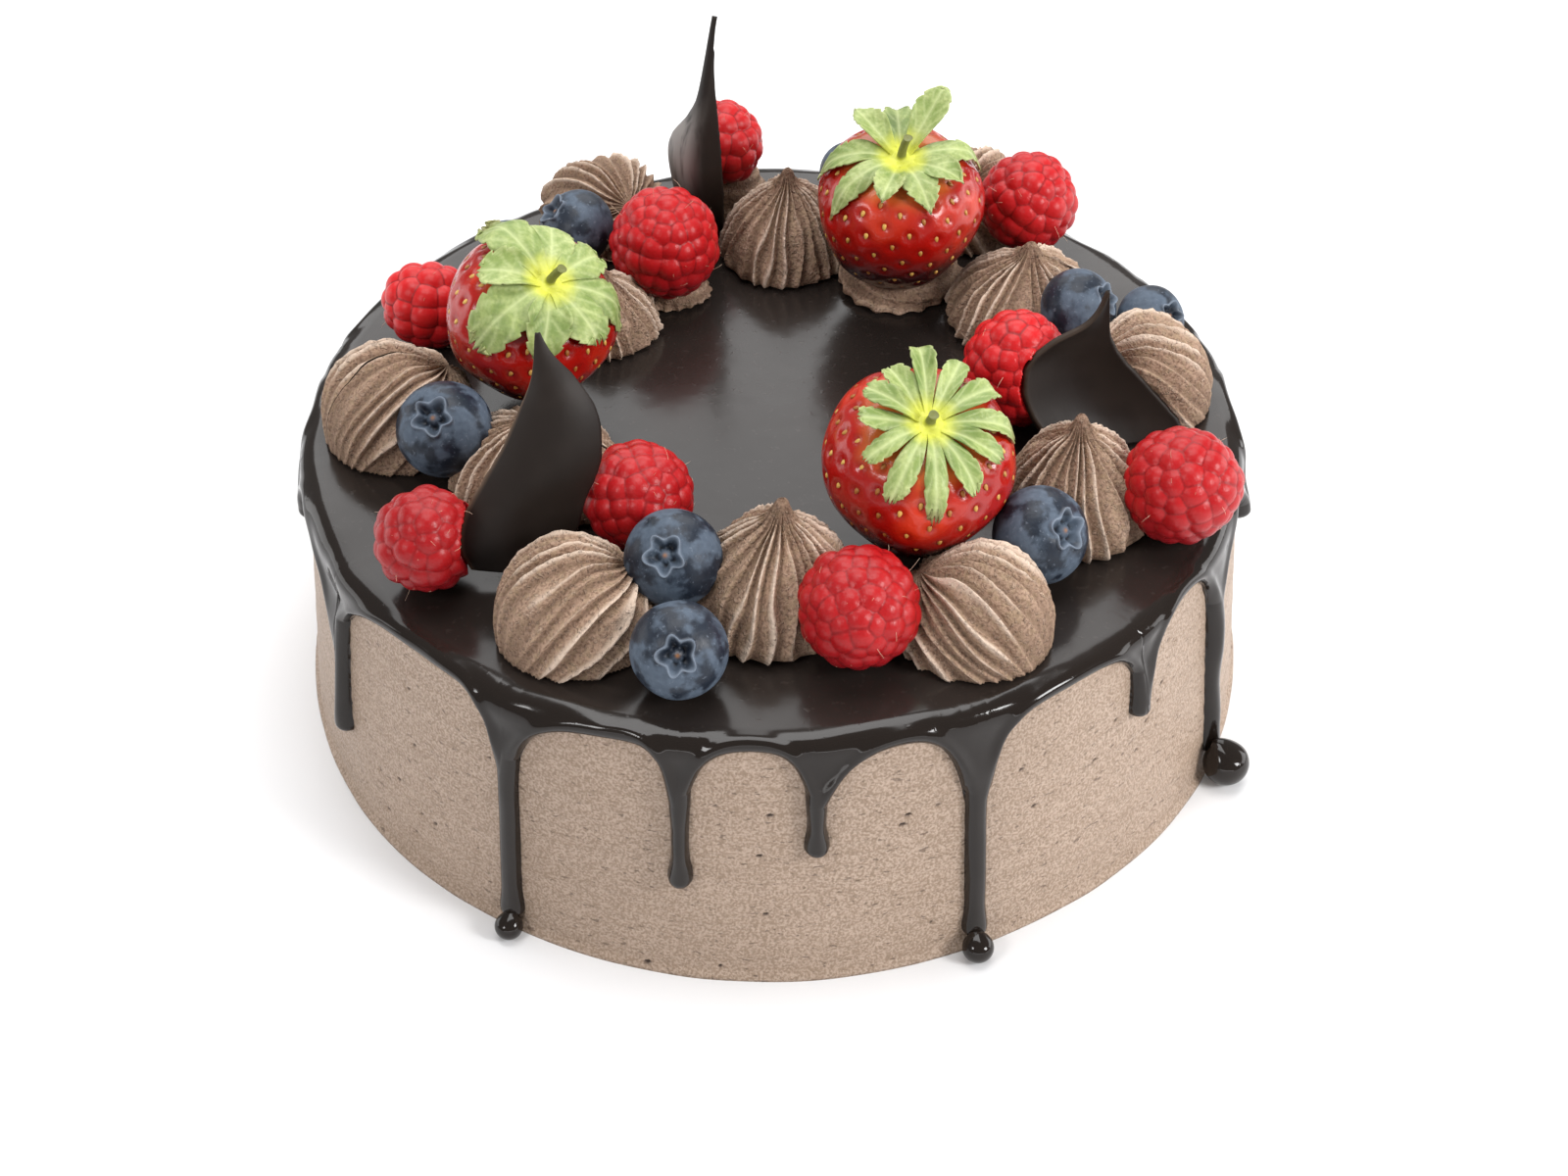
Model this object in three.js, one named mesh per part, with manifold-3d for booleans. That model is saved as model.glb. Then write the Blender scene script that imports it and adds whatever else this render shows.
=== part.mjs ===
// Chocolate berry cake.
//
// A round eight-inch cake is covered in chocolate buttercream. A dark glaze covers its top and
// runs down its side in drips. On the glaze stands a ring of piped cream, with raspberries,
// blueberries, strawberries and three upright chocolate petals set in it.
//
// Units are millimetres and +Z is up. The origin is the middle of the flat underside. Angles are
// in degrees round the Z axis from +X, so the front of the cake is at -90.

import * as THREE from 'three';
import { mergeVertices } from 'three/addons/utils/BufferGeometryUtils.js';
import Module from 'manifold-3d';

const wasm = await Module();
wasm.setup();

// ---------------------------------------------------------------- driving dimensions

const GAP = 0.3; // clear space left between pieces that touch

const BASE_RADIUS = 101.2; // an eight-inch cake, measured over its buttercream
const SIDE_TAPER = 0.098; // the side leans in by this much for each millimetre up
const CAKE_HEIGHT = 57.2;
const CAKE_CHAMFER = 0.8; // the cake's top edge, under the glaze
const CAKE_SEGMENTS = 72;

const GLAZE_TOP = 59.2;
const GLAZE_SHOULDER = 5.2; // rounding of the glaze over the top edge
const GLAZE_SKIN = 1.0; // thickness of the glaze where it lies on the side
const WIDEST_FLAT = 7.5; // widest step, in degrees, between corners of the glaze
const FLAT_ROOM = 0.2; // further room behind it for its flats between corners
const DRIP_THICKNESS = 2.1; // thickness along the middle of a drip
const DRIP_EDGE = 0.5; // thickness along its two sides
const DRIP_SIDE = 0.4; // distance over which the lip turns down into a drip
const RIB_FADE = 6; // height over which the rib of a drip rises out of the skin
const BEAD_OUT = 0.85; // how far the middle of a bead stands off the side, in radii
const LIP_HEIGHT = 55.8; // lower edge of the glaze between two drips
const LIP_WAVE = 0.4; // the lip's own slow rise and fall, either way

// The drips in order round the cake: where each one hangs, the height of its end and half its
// width. "before" and "after" say how far the lip has sunk where it meets the drip on that side,
// and over what distance it rises again. A bead of the given radius gathers at the foot of the
// drips that run all the way down.
const DRIPS = [
  { angle: -173, end: 42, half: 2.4, before: [8, 4], after: [10, 2.5] },
  { angle: -150.5, end: 17, half: 2.4, before: [18, 9], after: [9.5, 7] },
  { angle: -120.6, end: 3, half: 2.7, before: [15, 2.2], after: [11, 4], bead: 2.8 },
  { angle: -100.3, end: 23.5, half: 2.2, before: [12, 1.7], after: [9.5, 2.6] },
  { angle: -85.5, end: 31.5, half: 2.2, before: [9, 2.3], after: [12, 5] },
  { angle: -67.5, end: 3, half: 2.7, before: [15, 3], after: [17, 3.2], bead: 3.1 },
  { angle: -44, end: 37.5, half: 2.3, before: [7, 3.5], after: [15, 3.5] },
  { angle: -26, end: 4, half: 2.6, before: [11, 3], after: [12, 6], bead: 4.6 },
  { angle: -9, end: 43, half: 2.3, before: [8, 3], after: [8, 3] },
  { angle: 14, end: 26, half: 2.4, before: [11, 4], after: [9, 3] },
  { angle: 36, end: 9, half: 2.6, before: [12, 3], after: [14, 5] },
  { angle: 58, end: 36, half: 2.2, before: [8, 3], after: [9, 3] },
  { angle: 78, end: 19, half: 2.5, before: [13, 5], after: [10, 3] },
  { angle: 103, end: 40, half: 2.3, before: [8, 3], after: [8, 3] },
  { angle: 122, end: 6, half: 2.6, before: [13, 3], after: [12, 4] },
  { angle: 145, end: 29, half: 2.3, before: [9, 4], after: [10, 3] },
  { angle: 166, end: 15, half: 2.4, before: [12, 3], after: [11, 4] },
];

// Piped cream, numbered round the ring from the front left. A shell was piped outwards, so its
// ridges fan from a tail on the inside over a round end, and "toward" is the way it points. A
// star was piped straight down and pulled up to a peak. A dab is low and holds one fruit.
const RIDGES = 14;
const RIDGE_DEPTH = 0.055; // ridge and furrow, either way, as a share of the distance out
const SHELLS = [
  { name: 'cream_1', x: -36.5, y: -66, toward: -118, long: 15.5, wide: 14.5, height: 19 },
  { name: 'cream_3', x: 37, y: -68, toward: -62, long: 15, wide: 14, height: 18 },
  { name: 'cream_5', x: 76.5, y: 3.5, toward: 5, long: 14.5, wide: 15, height: 18 },
  { name: 'cream_7', x: 46, y: 71, toward: 59, long: 15, wide: 14, height: 16 },
  { name: 'cream_9', x: -37.5, y: 69.5, toward: 118, long: 15, wide: 15, height: 15.5 },
  { name: 'cream_11', x: -76, y: -5, toward: -168, long: 15.5, wide: 16, height: 19 },
];
const STARS = [
  { name: 'cream_2', x: -0.5, y: -61, radius: 15.5, height: 26, lean: [2.5, 2] },
  { name: 'cream_4', x: 59, y: -34.5, radius: 14.5, height: 25, lean: [0, 1] },
  { name: 'cream_6', x: 55, y: 32, radius: 16.5, height: 19, lean: [0.5, 2] },
  { name: 'cream_8', x: 3, y: 57, radius: 13.5, height: 23, lean: [1, 1] },
  { name: 'cream_10', x: -36, y: 29, radius: 11.5, height: 17, lean: [0, 0] },
  { name: 'cream_12', x: -47, y: -23, radius: 17, height: 19, lean: [0, 0] },
];
const DABS = [
  { name: 'cream_13', x: 28.5, y: 48, radius: 13, height: 6 },
  { name: 'cream_14', x: -21.5, y: 43.5, radius: 8, height: 6 },
  { name: 'cream_15', x: -10.5, y: 80, radius: 9.5, height: 9 },
];

// Fruit. "at" is its middle, "long" the length over the width of a raspberry, and "tilt" turns
// its own axis from upright, first about Y and then about X.
const RASPBERRIES = [
  { at: [-64.5, -53, 70.6], radius: 9.8, long: 1.12, tilt: [30, 10] },
  { at: [-25, -41, 70.6], radius: 10.6, long: 1, tilt: [50, 20] },
  { at: [15.5, -73.5, 71.2], radius: 11.1, long: 1.08, tilt: [75, 0] },
  { at: [79, -39.5, 71.2], radius: 11.1, long: 1.05, tilt: [50, 60] },
  { at: [49.5, -4, 72.8], radius: 11, long: 1.15, tilt: [10, -5] },
  { at: [57.5, 56.5, 74], radius: 10.7, long: 1, tilt: [20, 20] },
  { at: [-10.5, 77, 77], radius: 9.3, long: 1, tilt: [0, 10] },
  { at: [-22.5, 41, 73.8], radius: 11.6, long: 1.08, tilt: [10, 5] },
  { at: [-73, 26.5, 68.9], radius: 9, long: 1.08, tilt: [0, -80] },
];
const BLUEBERRIES = [
  { at: [-65, -19, 70.3], radius: 9.5, tilt: [35, -10] },
  { at: [-18.5, -62, 73.2], radius: 9, tilt: [45, -10] },
  { at: [-17, -82, 68.6], radius: 8.8, tilt: [55, 0] },
  { at: [50.5, -51.5, 69.2], radius: 9.2, tilt: [50, 50] },
  { at: [64.5, 20, 70.4], radius: 8.3, tilt: [0, 60] },
  { at: [80, 20.8, 67.1], radius: 7.3, tilt: [0, 80] },
  { at: [-42.5, 51, 71.3], radius: 8.3, tilt: [-20, -55] },
  { at: [-57.5, 48.5, 66.8], radius: 7, tilt: [0, -80] },
  { at: [19, 76.5, 68], radius: 8, tilt: [10, 30] },
];
const STRAWBERRIES = [
  { at: [27.5, 43.5, 79.6], radius: 17.8, length: 35, tilt: [14, 0] },
  { at: [-50, 4.5, 78.8], radius: 17.3, length: 33, tilt: [22, 21] },
  { at: [26.5, -42.5, 78.3], radius: 18.2, length: 35, tilt: [28, 6] },
];
// The green leaves on each strawberry: their length and greatest width, where the first one
// points, and how far each tip is lifted off the fruit, in order round the ring.
const LEAVES = [
  { long: 16, wide: 6, turn: 10, lifts: [2, 12, 1, 4, 1, 2, 6, 1, 3] },
  { long: 16.5, wide: 8.5, turn: 0, lifts: [1, 0.5, 2, 5, 3, 1, 1, 2] },
  { long: 16.5, wide: 5, turn: 5, lifts: [1, 3, 1, 0.5, 2, 1, 1, 2, 4, 1, 2] },
];
const LEAF_THICKNESS = 0.6;
const STEM = { radius: 1.1, tipRadius: 0.9, length: 5, sides: 6 };

// The chocolate petals: middle of the foot, tip, greatest width, the way the flat face looks,
// how far that face is bowed, and how early the outline narrows to its point.
const PETAL_THICKNESS = 1.6;
const PETAL_TIP = 0.3; // half its width at the very tip
const PETALS = [
  { foot: [-15.5, 64.5, 60.2], tip: [-12.5, 65, 115], width: 14, face: -110, bow: 4, point: 2.2 },
  { foot: [-47, -50, 60.8], tip: [-43.5, -33, 103.5], width: 22, face: -80, bow: 3, point: 1.25 },
  { foot: [69, -16, 60.6], tip: [66, -7, 93.5], width: 31, face: -75, bow: -3, point: 1.6 },
];

const FINISHES = {
  buttercream: { color: 0xb09684, roughness: 0.6 },
  ganache: { color: 0x241a17, roughness: 0.15 },
  pipedCream: { color: 0x8d7361, roughness: 0.75 },
  raspberry: { color: 0xb01827, roughness: 0.35 },
  blueberry: { color: 0x38455a, roughness: 0.55 },
  strawberry: { color: 0xa80f10, roughness: 0.25 },
  leaf: { color: 0xa9bf62, roughness: 0.55 },
  chocolate: { color: 0x2d2320, roughness: 0.45 },
};

// ---------------------------------------------------------------- shaping helpers

const NEARLY = 1e-6;
const radians = THREE.MathUtils.degToRad;
const degrees = THREE.MathUtils.radToDeg;
const mix = THREE.MathUtils.lerp;
const smooth = THREE.MathUtils.smoothstep;

// Only the places of the corners, each corner once.
function bare(geometry) {
  const plain = geometry.clone();
  plain.deleteAttribute('normal');
  plain.deleteAttribute('uv');
  return mergeVertices(plain, 1e-4);
}

function around(angle, radius, height) {
  return [radius * Math.cos(radians(angle)), radius * Math.sin(radians(angle)), height];
}

// A sphere pulled into another closed form: shape(column, row) gives each corner's new place.
// Row 0 is the top pole and the last row is the bottom one.
function formed(columns, rows, shape) {
  const geometry = new THREE.SphereGeometry(1, columns, rows);
  const position = geometry.getAttribute('position');
  for (let row = 0; row <= rows; row++) {
    for (let column = 0; column <= columns; column++) {
      position.setXYZ(row * (columns + 1) + column, ...shape(column % columns, row));
    }
  }
  return bare(geometry);
}

// The same for a form turned round the Z axis, from its profile of [radius, height] pairs.
function turned(columns, profile) {
  return formed(columns, profile.length - 1, (column, row) => {
    const [radius, height] = profile[row];
    return around((360 * column) / columns, radius, height);
  });
}

// A geometry with each of its corners moved by move([x, y, z]).
function bent(geometry, move) {
  const result = bare(geometry);
  const position = result.getAttribute('position');
  for (let index = 0; index < position.count; index++) {
    const corner = [position.getX(index), position.getY(index), position.getZ(index)];
    position.setXYZ(index, ...move(corner));
  }
  return result;
}

function toSolid(geometry) {
  return new wasm.Manifold(new wasm.Mesh({
    numProp: 3,
    vertProperties: new Float32Array(geometry.getAttribute('position').array),
    triVerts: new Uint32Array(geometry.getIndex().array),
  }));
}

function toGeometry(solid) {
  const mesh = solid.getMesh();
  const geometry = new THREE.BufferGeometry();
  geometry.setAttribute('position', new THREE.BufferAttribute(mesh.vertProperties, 3));
  geometry.setIndex(new THREE.BufferAttribute(mesh.triVerts, 1));
  return geometry;
}

// The biggest separate body of a solid, without the crumbs that a cut can leave.
function largest(solid) {
  return solid.decompose().reduce((a, b) => (a.volume() > b.volume() ? a : b));
}

function meshOf(name, geometry, finish) {
  const mesh = new THREE.Mesh(geometry, new THREE.MeshStandardMaterial(finish));
  mesh.name = name;
  return mesh;
}

// ---------------------------------------------------------------- cake

const CHAMFER_START = CAKE_HEIGHT - CAKE_CHAMFER;

function sideRadius(height) {
  return BASE_RADIUS - SIDE_TAPER * height;
}

// The cake's profile from the middle of its top to the middle of its base, grown by "extra".
function cakeProfile(extra = 0) {
  const edge = sideRadius(CHAMFER_START) + extra;
  return [
    [0, CAKE_HEIGHT + extra],
    [edge - CAKE_CHAMFER, CAKE_HEIGHT + extra],
    [edge, CHAMFER_START + extra],
    [sideRadius(-extra) + extra, -extra],
    [0, -extra],
  ];
}

// ---------------------------------------------------------------- glaze

const SHOULDER_END = GLAZE_TOP - GLAZE_SHOULDER;
const SKIRT_START = 0.4; // where the side begins, as a share of the way down to a high lip
const EDGE_START = 0.92; // where the lower edge begins to round under, as a share of the side

// Distance along the side from the middle of a drip to an angle, positive counter-clockwise.
function arcFrom(drip, angle) {
  const turn = THREE.MathUtils.euclideanModulo(angle - drip.angle + 180, 360) - 180;
  return radians(turn) * BASE_RADIUS;
}

// Height of the glaze's lower edge: a lip that sinks towards each drip, and the drip's tongue.
function lipHeight(angle) {
  let height = LIP_HEIGHT + LIP_WAVE * Math.sin(radians(7 * angle));
  for (const drip of DRIPS) {
    const along = arcFrom(drip, angle);
    const beside = Math.abs(along) - drip.half;
    if (beside <= NEARLY) {
      const part = Math.min(1, Math.abs(along) / drip.half);
      return drip.end + drip.half * (1 - Math.sqrt(1 - part * part));
    }
    const [drop, spread] = along < 0 ? drip.before : drip.after;
    height -= drop * Math.exp(-beside / spread);
  }
  return height;
}

// Thickness of the glaze on the side: a thin skin near the top, a rounded rib along a drip.
function skirtThickness(angle, height) {
  const drip = DRIPS.find((one) => Math.abs(arcFrom(one, angle)) <= one.half + NEARLY);
  if (!drip) return GLAZE_SKIN;
  const part = Math.min(1, Math.abs(arcFrom(drip, angle)) / drip.half);
  const rib = mix(DRIP_EDGE, DRIP_THICKNESS, Math.sqrt(1 - part * part));
  return mix(rib, GLAZE_SKIN, smooth(height, SHOULDER_END - RIB_FADE, SHOULDER_END));
}

// Radius of the outside of the glaze at a height: round its shoulder, then down the side.
function outerRadius(angle, height) {
  const up = THREE.MathUtils.clamp((height - SHOULDER_END) / GLAZE_SHOULDER, 0, 1);
  const side = sideRadius(Math.min(height, SHOULDER_END)) + GAP + skirtThickness(angle, height);
  return side - GLAZE_SHOULDER * (1 - Math.sqrt(1 - up * up));
}

// Radius of its inside, which keeps the gap to the cake and leans in with its top edge.
function innerRadius(height) {
  const above = Math.max(0, height - CHAMFER_START);
  return sideRadius(height - above) + GAP + FLAT_ROOM - above / 2;
}

// The angles at which the glaze has corners: close together on each drip, one beyond the curve
// of the lip on either side of it, and one more in each wide bay.
function glazeAngles() {
  const reach = 1.5; // how far out a curve of the lip goes, in spreads
  const flank = 0.6; // corner part of the way up a drip's rounded rib
  const angles = [];
  for (const { angle, half, before, after } of DRIPS) {
    const offsets = [-half - reach * before[1], -half - DRIP_SIDE, -half, -flank * half, 0];
    offsets.push(flank * half, half, half + DRIP_SIDE, half + reach * after[1]);
    for (const offset of offsets) {
      angles.push(angle + degrees(offset / BASE_RADIUS));
    }
  }
  angles.sort((a, b) => a - b);
  return angles.flatMap((angle, index) => {
    const next = index + 1 < angles.length ? angles[index + 1] : angles[0] + 360;
    return next - angle > WIDEST_FLAT ? [angle, (angle + next) / 2] : [angle];
  });
}

// The glaze's section at an angle, from the middle of its top over the shoulder to the lip and
// back along its inside.
function glazeProfile(angle) {
  const lip = lipHeight(angle);
  const bend = GLAZE_TOP - GLAZE_SHOULDER * (1 - Math.SQRT1_2);
  const skirt = Math.max(SHOULDER_END, mix(bend, lip, SKIRT_START));
  const outside = [GLAZE_TOP, bend, skirt, mix(skirt, lip, EDGE_START)];
  const inside = [lip, CHAMFER_START, CAKE_HEIGHT + GAP];
  return [
    [0, GLAZE_TOP],
    ...outside.map((height) => [outerRadius(angle, height), height]),
    ...inside.map((height) => [innerRadius(height), height]),
    [0, CAKE_HEIGHT + GAP],
  ];
}

function glazeSheet() {
  const angles = glazeAngles();
  const profiles = angles.map(glazeProfile);
  return formed(angles.length, profiles[0].length - 1, (column, row) => {
    const [radius, height] = profiles[column][row];
    return around(angles[column], radius, height);
  });
}

// The bead at the foot of a long drip, a little off the floor and flat against the side.
function bead(drip) {
  const height = drip.bead + 2 * GAP;
  const middle = around(drip.angle, sideRadius(height) + BEAD_OUT * drip.bead, height);
  const ball = bare(new THREE.SphereGeometry(drip.bead, 8, 6)).translate(...middle);
  return toSolid(ball).subtract(toSolid(turned(CAKE_SEGMENTS, cakeProfile(GAP))));
}

function ganacheGlaze() {
  const beads = DRIPS.filter((drip) => drip.bead).map(bead);
  const glaze = beads.reduce((sum, one) => sum.add(one), toSolid(glazeSheet()));
  return toGeometry(largest(glaze));
}

// ---------------------------------------------------------------- piped cream

// Every other column of corners is the crest of a ridge, and the ones between are furrows.
function ridged(corner, column, depth) {
  const out = 1 + depth * (column % 2 ? -1 : 1);
  return corner.map((value) => value * out);
}

// A star's share of the radius, of the height and of the full ridge depth, from the peak down.
const STAR_PROFILE = [
  [0, 1, 0], [0.13, 0.82, 1.2], [0.42, 0.68, 1.4], [0.78, 0.48, 1.4], [1, 0.2, 1.4],
  [0.93, 0, 1.2], [0, 0, 0],
];

function star({ radius, height, lean }) {
  return formed(2 * RIDGES, STAR_PROFILE.length - 1, (column, row) => {
    const [out, up, depth] = STAR_PROFILE[row];
    const flat = around((180 * column) / RIDGES, radius * out, 0);
    const [x, y] = ridged(flat, column, RIDGE_DEPTH * depth);
    return [x + lean[0] * up * up, y + lean[1] * up * up, height * up];
  });
}

// A shell's rows lie at these shares of the way from its tail to its edge, and then come back
// in along its base.
const SHELL_ROWS = [0, 0.25, 0.55, 0.82, 1];
const SHELL_TAIL = 0.62; // how far behind the middle the tail is, as a share of the length
const SHELL_BACK = 0.85; // height over the tail, as a share of the height
const SHELL_EDGE = 0.2; // height of the lowest part of its ridges
const SHELL_BASE = 0.93; // size of its footprint

// Distance from the tail to the shell's elliptic edge, in a direction.
function shellReach({ long, wide }, [dx, dy]) {
  const tail = -SHELL_TAIL * long;
  const a = (dx / long) ** 2 + (dy / wide) ** 2;
  const b = (tail * dx) / long ** 2;
  const c = (tail / long) ** 2 - 1;
  return (-b + Math.sqrt(b * b - a * c)) / a;
}

function shell(one) {
  const { long, wide, height, toward } = one;
  const tail = -SHELL_TAIL * long;
  return formed(2 * RIDGES, SHELL_ROWS.length + 1, (column, row) => {
    if (row > SHELL_ROWS.length) return [0, 0, 0];
    const direction = around((180 * column) / RIDGES, 1, 0);
    const onBase = row === SHELL_ROWS.length;
    const share = onBase ? 1 : SHELL_ROWS[row];
    const reach = share * shellReach(one, direction);
    const x = tail + direction[0] * reach;
    const y = direction[1] * reach;
    const edge = Math.min(1, (x / long) ** 2 + (y / wide) ** 2);
    const back = mix(SHELL_BACK, 1, smooth(x, tail, 0));
    const z = height * back * mix(SHELL_EDGE, 1, Math.sqrt(1 - edge));
    const corner = onBase ? [SHELL_BASE * x, SHELL_BASE * y, 0] : [x, y, z];
    const [rx, ry, rz] = ridged(corner, column, row === 0 ? 0 : RIDGE_DEPTH);
    const [cos, sin] = around(toward, 1, 0);
    return [rx * cos - ry * sin, rx * sin + ry * cos, rz];
  });
}

const DAB_PROFILE = [[0, 1], [0.6, 0.95], [1, 0.4], [0.94, 0], [0, 0]];
const DAB_COLUMNS = 18;
const DAB_WAVE = 0.06; // how uneven its outline is

function dab({ radius, height }) {
  return formed(DAB_COLUMNS, DAB_PROFILE.length - 1, (column, row) => {
    const [out, up] = DAB_PROFILE[row];
    const wave = 1 + DAB_WAVE * Math.sin(radians(75 * column));
    return around((360 * column) / DAB_COLUMNS, radius * out * wave, height * up);
  });
}

// ---------------------------------------------------------------- fruit

const RASPBERRY_COLUMNS = 16;
const RASPBERRY_ROWS = 7;
const RASPBERRY_BUMP = 0.035; // height of a drupelet, either way, as a share of the radius
const RASPBERRY_TAPER = 0.07;

// A raspberry: staggered bumps for its drupelets, a little narrower towards its tip at +Z.
function raspberry({ radius, long }) {
  return formed(RASPBERRY_COLUMNS, RASPBERRY_ROWS, (column, row) => {
    const polar = (Math.PI * row) / RASPBERRY_ROWS;
    const bump = row % RASPBERRY_ROWS === 0 ? 0 : RASPBERRY_BUMP * ((column + row) % 2 ? -1 : 1);
    const out = radius * (1 + bump);
    const wide = out * Math.sin(polar) * (1 - RASPBERRY_TAPER * Math.cos(polar));
    return around((360 * column) / RASPBERRY_COLUMNS, wide, long * out * Math.cos(polar));
  });
}

// A blueberry with its sunken crown at +Z, in shares of the radius.
const BLUEBERRY_PROFILE = [
  [0, 0.74], [0.24, 0.75], [0.42, 0.9], [0.88, 0.46], [0.99, -0.1], [0.66, -0.72], [0, -0.92],
];

function blueberry({ radius }) {
  return turned(12, BLUEBERRY_PROFILE.map(([out, up]) => [out * radius, up * radius]));
}

// A strawberry with its tip at -Z: share of the radius and share of the length from the middle.
const STRAWBERRY_PROFILE = [
  [0, 0.41], [0.42, 0.45], [0.8, 0.36], [1, 0.12], [0.95, -0.13], [0.7, -0.36], [0.35, -0.5],
  [0, -0.54],
];

const SHOULDER_SLOPE = 1.2; // how steeply leaves hang beyond the widest part of the fruit

function strawberry({ radius, length }) {
  return turned(16, STRAWBERRY_PROFILE.map(([out, up]) => [out * radius, up * length]));
}

// Height of the strawberry's upper side at a distance from its axis.
function strawberryTop({ radius, length }, distance) {
  const rim = STRAWBERRY_PROFILE.slice(0, 4);
  for (let index = 1; index < rim.length; index++) {
    const [inner, high] = rim[index - 1];
    const [outer, low] = rim[index];
    const share = (distance / radius - inner) / (outer - inner);
    if (share <= 1) return length * mix(high, low, share);
  }
  const [outer, low] = rim[rim.length - 1];
  return length * low - SHOULDER_SLOPE * (distance - outer * radius);
}

// One leaf's edge: share of its length, and share of its width to the side.
const LEAF_EDGE = [[0.48, -0.75], [0.72, -1], [1, 0], [0.72, 1], [0.48, 0.75]];
const HUB_RADIUS = 3.6;
const LEAF_CLEARANCE = 1.7; // between the fruit and the underside of its leaves
const LEAF_VARIETY = 0.12; // how much longer or shorter one leaf is than another

// The flat outline of the green leaves: a small hub with a pointed leaf for each lift.
function leafOutline({ long, wide, turn, lifts }) {
  const step = 360 / lifts.length;
  const points = lifts.flatMap((lift, index) => {
    const angle = turn + index * step;
    const reach = long * (1 + LEAF_VARIETY * Math.sin(5 * index + lift));
    const edge = LEAF_EDGE.map(([along, across]) => {
      const [x, y] = around(angle, along * reach, 0);
      const [sideX, sideY] = around(angle + 90, (across * wide) / 2, 0);
      return [x + sideX, y + sideY];
    });
    return [around(angle - step / 2, HUB_RADIUS, 0), ...edge];
  });
  return new THREE.Shape(points.map(([x, y]) => new THREE.Vector2(x, y)));
}

// How far a leaf is lifted off the fruit at a distance along it.
function leafLift({ long, turn, lifts }, angle, distance) {
  const index = Math.round(((angle - turn) * lifts.length) / 360);
  const lift = lifts[THREE.MathUtils.euclideanModulo(index, lifts.length)];
  return LEAF_CLEARANCE + lift * (distance / long) ** 2;
}

// The leaves lie over the fruit's shoulder, each with its tip lifted, as one thin wavy solid.
function strawberryLeaves(fruit, leaves) {
  const options = { depth: LEAF_THICKNESS, bevelEnabled: false };
  const flat = new THREE.ExtrudeGeometry(leafOutline(leaves), options);
  const draped = bent(flat, ([x, y, z]) => {
    const distance = Math.hypot(x, y);
    const lift = leafLift(leaves, degrees(Math.atan2(y, x)), distance);
    return [x, y, z + lift + strawberryTop(fruit, distance)];
  });
  const stem = new THREE.CylinderGeometry(STEM.tipRadius, STEM.radius, STEM.length, STEM.sides);
  stem.rotateX(Math.PI / 2);
  stem.translate(0, 0, strawberryTop(fruit, 0) + LEAF_CLEARANCE + STEM.length / 2);
  return toGeometry(toSolid(draped).add(toSolid(bare(stem))));
}

// ---------------------------------------------------------------- chocolate petals

// Half the width of a petal, from its foot at 0 to its point at 1, before scaling: it widens
// from the foot and then draws in to a long fine point.
function petalHalf(share, point) {
  const foot = 0.5;
  const swell = 2.1 * Math.sqrt(point);
  return (foot + swell * share) * (1 - share) ** point;
}

// A thin bowed petal, grown by "extra" at its edges and by twice that on its sloping faces.
function petal({ foot, tip, width, face, bow, point }, extra = 0) {
  const start = new THREE.Vector3(...foot);
  const along = new THREE.Vector3(...tip).sub(start);
  const length = along.length();
  along.normalize();
  const normal = new THREE.Vector3(...around(face, 1, 0));
  const across = new THREE.Vector3().crossVectors(along, normal).normalize();
  normal.crossVectors(across, along);
  const shares = Array.from({ length: 21 }, (_, index) => index / 20);
  const widest = Math.max(...shares.map((share) => petalHalf(share, point)));
  const block = new THREE.BoxGeometry(1, 1, 1, 4, 7, 1);
  return bent(block, ([x, y, z]) => {
    const share = y + 0.5;
    const half = PETAL_TIP + ((width / 2) * petalHalf(share, point)) / widest;
    const curve = bow * (((1 - 4 * x * x) * 2 * half) / width + Math.sin(Math.PI * share));
    const corner = start.clone();
    corner.addScaledVector(along, share * length + 2 * extra * y);
    corner.addScaledVector(across, 2 * x * (half + extra));
    corner.addScaledVector(normal, z * (PETAL_THICKNESS + 4 * extra) + curve);
    return corner.toArray();
  });
}

// ---------------------------------------------------------------- assembly

const cake = new THREE.Group();

function stand(mesh, { at, tilt }) {
  mesh.rotation.set(radians(tilt[0]), radians(tilt[1]), 0);
  mesh.position.set(...at);
  mesh.updateMatrixWorld();
  cake.add(mesh);
  return mesh;
}

// A geometry pressed in by its neighbours: cut by the room that each of them takes up. The
// rooms are in the cake's frame, and the geometry in that of its mesh.
function press(mesh, rooms) {
  let solid = toSolid(mesh.geometry.clone().applyMatrix4(mesh.matrixWorld));
  for (const room of rooms) {
    solid = solid.subtract(room);
  }
  mesh.geometry = toGeometry(largest(solid)).applyMatrix4(mesh.matrixWorld.clone().invert());
}

function roomOf(mesh, geometry) {
  return toSolid(geometry.applyMatrix4(mesh.matrixWorld));
}

function ballRoom(radius, long) {
  return bare(new THREE.SphereGeometry(radius, 14, 8).rotateX(Math.PI / 2).scale(1, 1, long));
}

cake.add(meshOf('cake_body', turned(CAKE_SEGMENTS, cakeProfile()), FINISHES.buttercream));
cake.add(meshOf('ganache_glaze', ganacheGlaze(), FINISHES.ganache));

PETALS.forEach((one, index) => {
  cake.add(meshOf(`chocolate_petal_${index + 1}`, petal(one), FINISHES.chocolate));
});
const petalRooms = PETALS.map((one) => toSolid(petal(one, GAP)));

const fruitRooms = [];
RASPBERRIES.forEach((berry, index) => {
  const mesh = meshOf(`raspberry_${index + 1}`, raspberry(berry), FINISHES.raspberry);
  stand(mesh, berry);
  press(mesh, petalRooms);
  fruitRooms.push(roomOf(mesh, ballRoom(1.1 * berry.radius + GAP, berry.long)));
});

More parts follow.
